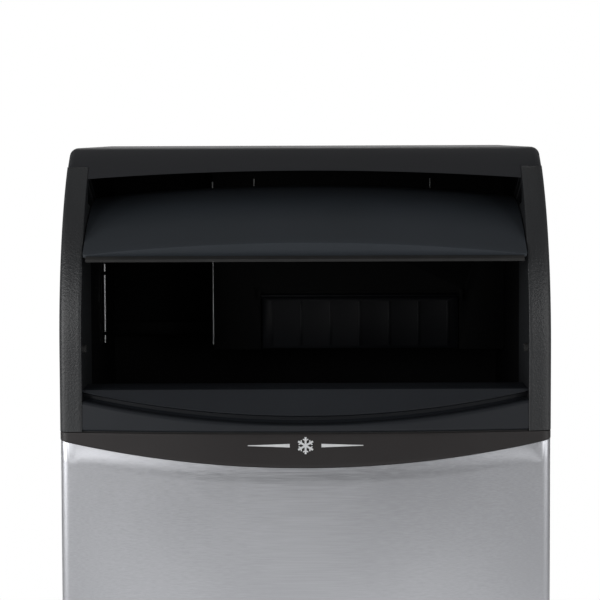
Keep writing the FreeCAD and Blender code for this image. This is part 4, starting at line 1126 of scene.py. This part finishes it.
@dataclass
class Cheek:
    """One moulded side cheek: a hollow wall that follows the nose, open to the rear."""

    form: FrontForm
    wall: float = 4.0
    side_round: float = 10.0
    inner_round: float = 1.6
    back: float = 139.8
    low: float = 640.0
    high: float = 965.8
    notch_low: float = 918.0
    notch_back: float = 112.0
    step_back: float = 0.35
    arc_steps: int = 44

    def ring(self, z: float) -> list[Vector]:
        """Trace the right cheek's wall at height z, seen from above.

        Args:
            z: height in millimetres.

        Returns:
            The closed outline: front and outer side first, then back along the inside.
        """
        f = self.form
        x0, x1, r, q, w = f.opening, f.half_width, self.side_round, self.inner_round, self.wall
        front = f.profile(0.0, z)
        edge_s = front + f.bow(x0)
        side_s = front + f.bow(x1 - r) + self.step_back
        outer_end = max(self.back, side_s + r + 4.0)
        inner_end = self.back if z < self.notch_low else max(self.notch_back, edge_s + 14.0)
        outer = [(x0, inner_end), (x0, edge_s + q + 2.0)]
        outer += arc_between((x0 + q, edge_s + q), q, 180, 270, 3)
        across = [x0 + q + (x1 - r - x0 - q) * i / 5 for i in range(1, 6)]
        outer += [(x, front + f.bow(x)) for x in across]
        outer += arc_between((x1 - r, side_s + r), r, -81, 0, 9)
        outer += [(x1, side_s + r + 2.0), (x1, outer_end)]
        inner = [(x1 - w, outer_end), (x1 - w, side_s + r + 2.0), (x1 - w - 4.0, side_s + w + 2.0),
                 (x1 - r - 4.0, side_s + w), (x0 + w + 2.0, edge_s + w + 1.0), (x0 + w, edge_s + w + 3.0),
                 (x0 + w, inner_end)]
        return [f.at(x, s, z) for x, s in outer + inner]

    def build(self, frame: dict) -> None:
        """Make both cheeks.

        Args:
            frame: not used; the bodies and nodes that the CAD model gives.
        """
        f = self.form
        heights = [self.low, self.low + 0.8, 655.0, 670.0, 690.0, 710.0, 730.0]
        top = math.asin((self.high - f.nose_z) / f.nose_radius)
        steps = self.arc_steps
        heights += [f.nose_z + f.nose_radius * math.sin(top * i / steps) for i in range(steps + 1)]
        for side, node in ((1, "cheek_right"), (-1, "cheek_left")):
            rings = [[Vector((side * p.x, p.y, p.z)) for p in self.ring(z)] for z in heights]
            obj = loft("cheek_moulding_" + ("right" if side > 0 else "left"), rings)
            settle(obj, "cabinet", BLACK_GRAIN, [node], 40.0)


@dataclass
class Shell:
    """Cover, side and rear sheets, base and screws."""

    head_radius: float = 3.5
    head_height: float = 1.2
    slot: float = 0.9

    def screws(self, frame: dict) -> None:
        """Put a recessed head on every screw of the frame, facing out of its panel.

        Args:
            frame: the loaded frame.
        """
        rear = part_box("rear_panel")[1].y
        points: list[Vector] = []
        facing: list[Vector] = []
        for low, high in islands(frame["nodes"]["screws"]):
            middle = (low + high) / 2
            on_rear = high.y > rear - 2 * MM
            proud = self.head_height * MM
            middle.y = high.y - 0.6 * proud if on_rear else low.y + 0.2 * proud
            points.append(middle)
            facing.append(Vector((0, 1 if on_rear else -1, 0)))
        mesh = bpy.data.meshes.new("screw_points")
        mesh.from_pydata([tuple(p) for p in points], [], [])
        store = mesh.attributes.new("facing", "FLOAT_VECTOR", "POINT")
        for i, out in enumerate(facing):
            store.data[i].vector = out
        sizes = {"Radius": self.head_radius * MM, "Height": self.head_height * MM, "Slot": self.slot * MM}
        obj = grow("panel_screws", screw_tree("cross_head_screws", ZINC_BRIGHT), sizes, mesh)
        settle(obj, "cabinet", ZINC_BRIGHT, ["screws"], 34.0)

    def build(self, frame: dict) -> None:
        """Make and dress every piece of the shell.

        Args:
            frame: the bodies and nodes that the CAD model gives.
        """
        refine(frame, "top_cover", "cover_moulding", BLACK_COVER, 0.8, 28.0)
        refine(frame, "side_panel_left", "side_sheet_left", SIDE_STEEL, 0.25)
        refine(frame, "side_panel_right", "side_sheet_right", SIDE_STEEL, 0.25)
        dress(frame, "rear_panel", GALVANISED)
        refine(frame, "base_pan", "base_tray", GALVANISED, 0.3)
        self.screws(frame)
        # the foam's near-black colour is painted shade for the gaps that it shows through
        dress(frame, "insulation", FOAM_PAINTED_GAP_SHADE)
        # the liner's near-black colour is partly its own black and partly painted shade of the bin
        dress(frame, "bin_liner", LINER_BLACK_PAINTED_SHADE)


@dataclass
class Sill:
    """The black bezel under the door, with its crescent and the finger groove beneath it."""

    form: FrontForm
    top: float = 298.5
    bottom: float = 349.4
    edge_s: float = 27.0
    crescent_s: float = 8.0
    crescent_mid: float = 31.0
    crescent_end: float = 3.0
    groove: float = 10.0
    groove_s: float = 22.0
    face: float = 1.0
    back: float = 60.0
    lip_back: float = 89.5

    def ring(self, x: float) -> list[Vector]:
        """Trace the bezel's section at x: face, shoulder, finger groove, crescent and lip.

        Args:
            x: millimetres from the middle.

        Returns:
            The closed outline.
        """
        f = self.form
        b = f.bow(x)
        z_top, z_low = f.height - self.top, f.height - self.bottom
        z_c = f.arch(x, z_top - self.crescent_end, z_top - self.crescent_mid, f.opening)
        slope = (self.edge_s - self.crescent_s) / self.crescent_mid
        s_c = self.edge_s - (z_top - z_c) * slope
        fs = self.face + b
        pts: list[Point] = [(self.back, z_low)]
        pts += arc_between((fs + 4.0, z_low + 4.0), 4.0, 270, 180, 8)
        shoulder = z_c - self.groove
        top_face = max(z_low + 8.0, shoulder - 6.0)
        pts += [(fs, z_low + 4.0 + (top_face - z_low - 4.0) * i / 4) for i in range(1, 4)]
        round_s = 6.0
        rise = shoulder - top_face
        for a in (math.radians(10 * i) for i in range(10)):
            pts.append((fs + round_s - round_s * math.cos(a), top_face + rise * math.sin(a)))
        deep = self.groove_s + b
        pts += [(deep - 3.0, shoulder), (deep, shoulder + 3.0), (deep, z_c - 3.0), (deep - 3.0, z_c)]
        pts += [(s_c + 1.2, z_c), (s_c + 0.35, z_c + 0.25), (s_c + 0.1, z_c + 0.9)]
        for i in range(1, 8):
            t = i / 8
            pts.append((s_c + (self.edge_s - s_c) * t, z_c + (z_top - z_c) * t))
        edge = self.edge_s
        pts += [(edge - 0.6, z_top - 1.1), (edge + 0.1, z_top - 0.3), (edge + 1.2, z_top)]
        pts += [(self.lip_back, z_top), (self.lip_back, z_top - 3.0), (self.back, z_top - 3.0)]
        return [f.at(x, s, z) for s, z in pts]

    def build(self, frame: dict) -> None:
        """Make the bezel in place of the frame's.

        Args:
            frame: not used; the bodies and nodes that the CAD model gives.
        """
        half = self.form.opening - 0.2
        steps = 90
        rings = [self.ring(-half + 2 * half * i / steps) for i in range(steps + 1)]
        obj = loft("sill_moulding", rings)
        settle(obj, "cabinet", BLACK_SILL, ["sill_bezel"], 26.0)


@dataclass
class Fascia:
    """Badge trim, emblem, stainless panel and lower grille."""

    form: FrontForm
    parting: float = 350.6
    smile_end: float = 361.0
    smile_mid: float = 393.0
    grille_top: float = 385.0
    grille_arch: float = 14.0
    wire_pitch: float = 3.2
    wire: float = 0.7
    filter_rim: float = 9.0

    def smile(self, x: float) -> float:
        """Height of the trim's lower edge at x."""
        f = self.form
        return f.arch(x, f.height - self.smile_end, f.height - self.smile_mid, f.half_width + 0.5)

    def grille_edge(self, x: float) -> float:
        """Height of the stainless panel's lower edge at x, just over the grille."""
        top = self.grille_top + 0.5
        return self.form.arch(x, top - self.grille_arch, top, self.form.half_width + 0.5)

    def build(self, frame: dict) -> None:
        """Make the pieces under the parting line.

        Args:
            frame: the bodies and nodes that the CAD model gives.
        """
        f = self.form
        top = f.height - self.parting
        trim = wrapped_shell(f, "badge_trim_moulding", 0.0, 3.0, self.smile, lambda x: top, 8)
        soften(trim, 1.6, 4, 40.0)
        settle(trim, "cabinet", WARM_BLACK, ["badge_trim"], 34.0)
        panel = wrapped_shell(f, "front_sheet", 0.8, 1.0, self.grille_edge,
                              lambda x: self.smile(x) - 0.25, 10, 96)
        soften(panel, 0.3, 2, 40.0)
        settle(panel, "cabinet", FRONT_STEEL, ["front_panel"], 34.0)
        refine(frame, "front_grille", "louvre_moulding", BLACK_GRAIN, 0.5)
        emblem = refine(frame, "badge_emblem", "raised_emblem", SATIN_METAL, 0.0)
        emblem.data.transform(Matrix.Translation((0, -0.45 * MM, 0)))
        seam = wrapped_shell(f, "parting_gasket", 3.6, 2.0, lambda x: top - 5.0, lambda x: top + 4.0, 2)
        settle(seam, "cabinet", BLACK_RUBBER, (), 34.0)
        refine(frame, "switch_frame", "switch_surround", BLACK_SATIN, 0.3)
        refine(frame, "rocker_switch", "switch_rocker", SWITCH_GREEN, 0.4)
        self.filter_screen()

    def filter_screen(self) -> None:
        """Make the washable filter: a rim with a woven screen, coarser than a real one so that it shows."""
        lo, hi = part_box("air_filter")
        mid, size = (lo + hi) / 2, hi - lo
        tree = bar_row_tree("filter_wires", GREY_NYLON)
        pitch, wire, rim = (v * MM for v in (self.wire_pitch, self.wire, self.filter_rim))
        across = int((size.x - 2 * rim) / pitch)
        up = int((size.z - 2 * rim) / pitch)
        parts = [
            bar_row("wires_up", tree, across, (lo.x + rim + pitch / 2, mid.y, mid.z), (pitch, 0, 0),
                    (wire, wire, size.z - rim)),
            bar_row("wires_across", tree, up, (mid.x, mid.y - 0.5 * MM, lo.z + rim + pitch / 2),
                    (0, 0, pitch), (size.x - rim, wire, wire)),
            bar_row("rims_up", tree, 2, (lo.x + rim / 2, mid.y, mid.z), (size.x - rim, 0, 0),
                    (rim, size.y, size.z)),
            bar_row("rims_across", tree, 2, (mid.x, mid.y, lo.z + rim / 2), (0, 0, size.z - rim),
                    (size.x - 2 * rim, size.y, rim))]
        settle(join("filter_screen", parts), "cabinet", GREY_NYLON, ["air_filter"])


@dataclass
class DoorSet:
    """The crowned lift-up door with its inner panel, lugs, seal, rod, shoes and tracks."""

    form: FrontForm
    off: float = 1.0
    back: float = 25.0
    skin: float = 2.0
    bottom: float = 291.0
    gap: float = 1.5
    header_end: float = 45.0
    header_mid: float = 35.0
    pivot_s: float = 146.0
    pivot_drop: float = 46.0
    slope: float = 22.0
    travel: float = 169.0
    turn: float = 57.967
    end_round: float = 4.0
    lip_round: float = 1.4
    arc_steps: int = 30

    def to_rest(self, obj: bpy.types.Object) -> None:
        """Carry a door piece from the closed pose to the half-open rest pose.

        Args:
            obj: the piece, made as it lies when the door is shut.
        """
        f = self.form
        pivot = f.at(0, self.pivot_s, f.height - self.pivot_drop)
        a = math.radians(self.slope)
        shift = Vector((0, self.travel * math.cos(a) * MM, -self.travel * math.sin(a) * MM))
        spin = Matrix.Rotation(math.radians(-self.turn), 4, "X")
        obj.data.transform(Matrix.Translation(pivot + shift) @ spin @ Matrix.Translation(-pivot))

    def ring(self, x: float) -> list[Vector]:
        """Trace the door shell's section at x in the closed pose.

        Args:
            x: millimetres from the middle.

        Returns:
            The closed outline: up the outer face, back down the inner one.
        """
        f = self.form
        b = f.bow(x)
        past = max(0.0, abs(x) - (f.opening - self.gap - self.end_round))
        lift = self.end_round - math.sqrt(max(self.end_round**2 - past**2, 0.0))
        zb = f.height - self.bottom + lift
        z_top = f.arch(x, f.height - self.header_end, f.height - self.header_mid, f.opening)
        inner = self.back - self.skin
        r = self.lip_round
        pts: list[Point] = arc_between((self.off + b + r, zb + r), r, 270, 180, 3)
        pts += [(self.off + b, zb + 2 + (f.nose_z - zb - 2) * i / 5) for i in range(1, 5)]
        top_deg = math.degrees(math.asin((z_top - f.nose_z) / (f.nose_radius - self.off)))
        steps = self.arc_steps
        pts += [(s + b, z) for s, z in (f.on_nose(self.off, top_deg * i / steps) for i in range(steps + 1))]
        deg_in = math.degrees(math.asin((z_top - f.nose_z) / (f.nose_radius - inner)))
        pts += [f.on_nose(inner, deg_in * (steps - i) / steps) for i in range(steps + 1)]
        pts += [(inner, zb + 2 + (f.nose_z - zb - 2) * i / 5) for i in range(4, 0, -1)]
        pts += [(inner, zb)]
        return [f.at(x, s, z) for s, z in pts]

    def build(self, frame: dict) -> None:
        """Make the door and dress its run.

        Args:
            frame: the bodies and nodes that the CAD model gives.
        """
        half = self.form.opening - self.gap
        inner = half - self.end_round
        stations = [inner * i / 34 for i in range(-34, 35)]
        ends = [inner + self.end_round * math.sin(math.radians(a)) for a in (20, 40, 60, 76, 90)]
        stations = [-x for x in reversed(ends)] + stations + ends
        rings = [self.ring(x) for x in stations]
        shell = loft("door_shell", rings)
        self.to_rest(shell)
        soften(shell, 0.8, 3, 50.0)
        settle(shell, "door", BLACK_SATIN, ["door_outer", "door_foam"], 38.0)
        refine(frame, "door_inner", "door_lining", BLACK_SILL, 0.4)
        dress(frame, "door_seal", BLACK_RUBBER)
        dress(frame, "door_bumpers", BLACK_RUBBER)
        refine(frame, "door_tracks", "side_tracks", INNER_GREY, 0.4)
        refine(frame, "pivot_rod", "lift_rod", ROD_STEEL, 0.5)
        refine(frame, "slide_shoes", "track_shoes", WHITE_NYLON, 0.5)


@dataclass
class IceMaker:
    """The ice making module at the back of the bin, and what hangs in the bin."""

    form: FrontForm
    left: float = -131.0
    front: float = 415.0
    curtain: tuple[float, float] = (-61.0, 218.0)
    hooks: tuple[float, float] = (-72.0, 178.0)
    bead: float = 1.1
    cell: float = 24.0
    divider: float = 0.8
    cell_depth: float = 9.0

    def cube_plate(self, frame: dict) -> None:
        """Make the evaporator: the frame's plate and tube, with the dividers that part the cubes.

        Args:
            frame: the loaded frame.
        """
        refine(frame, "evaporator", "cube_plate", NICKEL, 0.2)
        lo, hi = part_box("evaporator")
        mid = (lo + hi) / 2
        cell, thick, deep = (v * MM for v in (self.cell, self.divider, self.cell_depth))
        columns, rows = int((hi.x - lo.x) / cell), int((hi.z - lo.z) / cell)
        wide, tall = cell * (columns - 1), cell * (rows - 1)
        y = lo.y - deep / 2 + 1.0 * MM
        tree = bar_row_tree("cube_dividers", NICKEL)
        parts = [
            bar_row("columns", tree, columns, (mid.x - wide / 2, y, mid.z), (cell, 0, 0),
                    (thick, deep, tall)),
            bar_row("rows", tree, rows, (mid.x, y, mid.z - tall / 2), (0, 0, cell), (wide, deep, thick))]
        LOG.info("cube plate: %d by %d cells", columns - 1, rows - 1)
        settle(join("cube_dividers", parts), "cabinet", NICKEL, ())

    def level_probe(self) -> None:
        """Make the bin level probe: a bright bulb tube in two clips on a dark strip."""
        lo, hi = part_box("bin_probe")
        mid, size = (lo + hi) / 2, hi - lo
        # the probe's strip and clips take the near-black housing finish, partly painted shade of the bin
        tree = bar_row_tree("probe_parts", HOUSING_BLACK_PAINTED_SHADE)
        strip = bar_row("probe_strip", tree, 1, (lo.x + 1.0 * MM, mid.y, mid.z), (0, 0, 0),
                        (2.0 * MM, size.y, size.z))
        clips = bar_row("probe_clips", tree, 2, (lo.x + 4.0 * MM, mid.y, lo.z + 15 * MM), (0, 0, 84 * MM),
                        (6.0 * MM, 5.0 * MM, 5.0 * MM))
        holder = join("level_probe_strip", [strip, clips])
        settle(holder, "cabinet", HOUSING_BLACK_PAINTED_SHADE, ["bin_probe"])
        x = lo.x + 4.8 * MM
        line = path_mesh([(x, mid.y, z) for z in (lo.z + 2 * MM, mid.z, hi.z - 2 * MM)])
        tube = grow("level_probe_tube", tube_tree("probe_bulb", ZINC_BRIGHT),
                    {"Radius": 2.2 * MM, "Bend": 1.0 * MM}, line)
        settle(tube, "cabinet", ZINC_BRIGHT, (), 50.0)

    def edges(self) -> None:
        """Make the bead on the module's left edge, the dark rail over the curtain and two lid hooks."""
        f = self.form
        r = self.bead
        bead = [[f.at(x, s, z) for x, s in arc_between((self.left - 0.2, self.front - 0.6), r, 0, 330, 11)]
                for z in (708.0, 790.0, 870.0, 940.0)]
        settle(loft("module_edge_bead", bead), "cabinet", ZINC_BRIGHT, (), 50.0)
        x0, x1 = self.curtain
        rail = [[f.at(x, s, z) for s, z in ((419.0, 774.0), (421.0, 774.0), (421.0, 797.0), (419.0, 797.0))]
                for x in (x0 - 4.0, x1 + 4.0)]
        settle(loft("curtain_rail", rail), "cabinet", HOUSING_BLACK_PAINTED_SHADE, ())
        tree = tube_tree("lid_hook", ZINC_BRIGHT)
        hooks = [grow("hook", tree, {"Radius": 1.0 * MM, "Bend": 3.0 * MM},
                      path_mesh([f.at(x, 416.0, 930.0), f.at(x, 410.0, 930.0), f.at(x, 411.0, 944.0)]))
                 for x in self.hooks]
        settle(join("lid_hooks", hooks), "cabinet", ZINC_BRIGHT, (), 50.0)

    def build(self, frame: dict) -> None:
        """Dress the module's pieces.

        Args:
            frame: the bodies and nodes that the CAD model gives.
        """
        # the near-black housing finish is partly the plastic's own black and partly painted shade of the bin
        refine(frame, "ice_maker_housing", "maker_housing", HOUSING_BLACK_PAINTED_SHADE, 0.8)
        refine(frame, "ice_curtain", "curtain_flap", CURTAIN_BLUE, 0.4)
        refine(frame, "bay_baffle", "bay_lining", HOUSING_BLACK_PAINTED_SHADE, 0.6)
        self.cube_plate(frame)
        self.edges()
        for node, finish in (("water_sump", GREY_NYLON), ("water_distributor", WHITE_NYLON),
                             ("water_pump", GREY_NYLON), ("pump_impeller", WHITE_NYLON),
                             ("float_arm", WHITE_NYLON), ("float_valve", WHITE_NYLON)):
            refine(frame, node, node + "_moulding", finish, 0.4)
        self.level_probe()
        refine(frame, "scoop_holder", "scoop_bracket", LEG_STEEL, 0.3)
        refine(frame, "ice_scoop", "scoop_moulding", SCOOP_BLUE, 0.5)


@dataclass
class MachineSpace:
    """Compressor, condenser, fan, pipes, valves and electrics under the bin."""

    fin_pitch: float = 2.6
    fin: float = 0.35
    end_plate: float = 1.6
    tube_stub: float = 8.0
    tube_runs: int = 5
    first_run: float = 20.0
    run_pitch: float = 29.0

    def build(self, frame: dict) -> None:
        """Dress the machine's pieces.

        Args:
            frame: the bodies and nodes that the CAD model gives.
        """
        pairs = (("compressor", BLACK_ENAMEL), ("compressor_mounts", BLACK_RUBBER),
                 ("condenser_mounts", GALVANISED), ("fan_shroud", GREY_NYLON), ("fan_motor", BLACK_ENAMEL),
                 ("fan_blade", FIN_METAL), ("filter_drier", COPPER), ("pipework", COPPER),
                 ("hot_gas_valve", BRASS),
                 ("inlet_valve", GREY_NYLON), ("drain_fitting", GREY_NYLON), ("drain_hose", GREY_NYLON),
                 ("cord_gland", GREY_NYLON), ("control_box", GALVANISED), ("control_board", GREEN_BOARD))
        for node, finish in pairs:
            refine(frame, node, node + "_body", finish, 0.3)
        self.condenser()

    def condenser(self) -> None:
        """Make the condenser: thin fins, end plates and one copper tube that runs to and fro through them."""
        lo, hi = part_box("condenser_coil")
        mid, size = (lo + hi) / 2, hi - lo
        stub, pitch, fin, plate = (v * MM for v in (self.tube_stub, self.fin_pitch, self.fin, self.end_plate))
        x0, x1 = lo.x + stub, hi.x - stub
        margin = 2 * MM
        count = int((x1 - x0 - 2 * margin) / pitch)
        fins = bar_row("fins", bar_row_tree("condenser_fins", FIN_METAL), count,
                       (x0 + margin + pitch / 2, mid.y, mid.z), (pitch, 0, 0),
                       (fin, size.y - 1 * MM, size.z - 1 * MM))
        plates = bar_row("plates", bar_row_tree("condenser_end_plates", FIN_METAL), 2,
                         (x0 + plate / 2, mid.y, mid.z), (x1 - x0 - plate, 0, 0), (plate, size.y, size.z))
        settle(join("fin_block", [fins, plates]), "cabinet", FIN_METAL, ["condenser_coil"])
        points = []
        for run in range(self.tube_runs):
            z = lo.z + (self.first_run + self.run_pitch * run) * MM
            ends = (lo.x, hi.x) if run % 2 == 0 else (hi.x, lo.x)
            points += [(x, mid.y, z) for x in ends]
        tube = grow("condenser_tube", tube_tree("bent_tube", COPPER), {"Radius": 4.2 * MM, "Bend": 7.5 * MM},
                    path_mesh(points))
        settle(tube, "cabinet", COPPER, (), 50.0)


@dataclass
class Legs:
    """Four tapered legs with adjustable feet."""

    def build(self, frame: dict) -> None:
        """Dress legs and feet."""
        refine(frame, "legs", "tapered_legs", LEG_STEEL, 0.6)
        for corner in ("front_left", "front_right", "rear_left", "rear_right"):
            refine(frame, "foot_" + corner, "levelling_foot_" + corner, ZINC_BRIGHT, 0.6)


# ------------------------------------------------------------------ studio


@dataclass
class Studio:
    """Camera, soft lights, floor and white surroundings."""

    distance: float = 2.5
    eye: float = 1.006
    lens: float = 122.0
    tilt: float = 3.65
    roll: float = 0.2
    shift: Point = (-0.0075, -0.0588)
    surround: float = 0.26
    floor_x: float = 4.0
    floor_y: Point = (-4.0, 1.45)

    def camera(self, front: float) -> None:
        """Set the camera level with the top of the machine, looking a little down at its front.

        Args:
            front: the plane that the distance is counted from, in metres.
        """
        data = bpy.data.cameras.new("camera")
        data.sensor_width = 36.0
        data.lens = self.lens
        data.shift_x, data.shift_y = self.shift
        data.clip_end = 50.0
        obj = bpy.data.objects.new("camera", data)
        obj.location = (0.0, front - self.distance, self.eye)
        obj.rotation_euler = (math.radians(90 - self.tilt), math.radians(self.roll), 0.0)
        bpy.context.scene.collection.objects.link(obj)
        bpy.context.scene.camera = obj

    def softbox(self, name: str, place: Sequence[float], aim: Sequence[float], size: Point,
                power: float) -> None:
        """Hang one soft rectangular light.

        Args:
            name: the light's name.
            place: where it hangs.
            aim: the point it faces.
            size: its width and height in metres.
            power: watts.
        """
        data = bpy.data.lights.new(name, "AREA")
        data.shape = "RECTANGLE"
        data.size, data.size_y = size
        data.energy = power
        obj = bpy.data.objects.new(name, data)
        obj.location = place
        obj.rotation_euler = (Vector(aim) - Vector(place)).to_track_quat("-Z", "Y").to_euler()
        obj.visible_camera = False
        bpy.context.scene.collection.objects.link(obj)

    def floor(self) -> None:
        """Lay a plain pale floor."""
        x, (near, far) = self.floor_x, self.floor_y
        verts = [(-x, near, 0.0), (x, near, 0.0), (x, far, 0.0), (-x, far, 0.0)]
        floor = new_object("studio_floor", verts, [(0, 1, 2, 3)])
        give(floor, STUDIO_FLOOR)
        floor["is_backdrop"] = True

    def world(self) -> None:
        """Surround the studio with white, which lights the machine only softly."""
        world = bpy.data.worlds.new("studio")
        world.use_nodes = True
        tree = world.node_tree
        background = tree.nodes["Background"]
        background.inputs["Color"].default_value = linear("FFFFFF")
        ray = add(tree, "ShaderNodeLightPath")
        level = add(tree, "ShaderNodeMapRange", {"To Min": self.surround, "To Max": 1.0},
                    {"Value": ray.outputs["Is Camera Ray"]})
        tree.links.new(level.outputs["Result"], background.inputs["Strength"])
        bpy.context.scene.world = world

    def build(self, front: float) -> None:
        """Set up the studio.

        Args:
            front: the plane that the camera's distance is counted from, in metres.
        """
        self.camera(front)
        bpy.context.scene.view_settings.view_transform = "Standard"
        self.floor()
        self.world()
        self.softbox("key_left", (-1.6, -2.6, 1.35), (0, 0, 0.8), (0.9, 1.2), 17.0)
        self.softbox("side_left", (-3.0, -1.5, 1.0), (0, -0.1, 0.75), (1.8, 1.6), 50.0)
        self.softbox("fill_right", (1.8, -2.5, 1.35), (0, 0, 0.8), (0.9, 1.2), 14.0)
        self.softbox("side_right", (3.0, -1.5, 1.0), (0, -0.1, 0.75), (1.8, 1.6), 22.0)
        self.softbox("top", (0.0, -0.4, 3.2), (0, 0, 0.9), (2.4, 2.0), 4.0)
        self.softbox("back_sheen", (0.0, 2.7, 2.3), (0, 0, 0.9), (3.4, 1.8), 22.0)
        self.softbox("floor_glow", (0.0, -1.7, 0.03), (0, -0.5, 0.9), (1.6, 0.3), 1.0)


def corners(box: tuple[Vector, Vector]) -> list[list[float]]:
    """Turn a box into plain lists."""
    return [[float(v) for v in corner] for corner in box]


def main() -> None:
    """Build the studio and every sub-assembly."""
    logging.basicConfig(level=logging.INFO, format="%(message)s")
    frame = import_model()
    cad = corners(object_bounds())
    (left, near, _), (right, far, top) = cad
    form = FrontForm(half_width=(right - left) / 2 / MM, depth=round((far - near) / MM, 1), height=top / MM)
    Studio().build(cad[0][1] + form.bow_sag * MM)
    fronts = (Cheek(form), Sill(form), Fascia(form), DoorSet(form), IceMaker(form))
    for part in (Shell(), *fronts, MachineSpace(), Legs()):
        LOG.info("-- %s", type(part).__name__)
        part.build(frame)


if __name__ == "__main__":
    main()
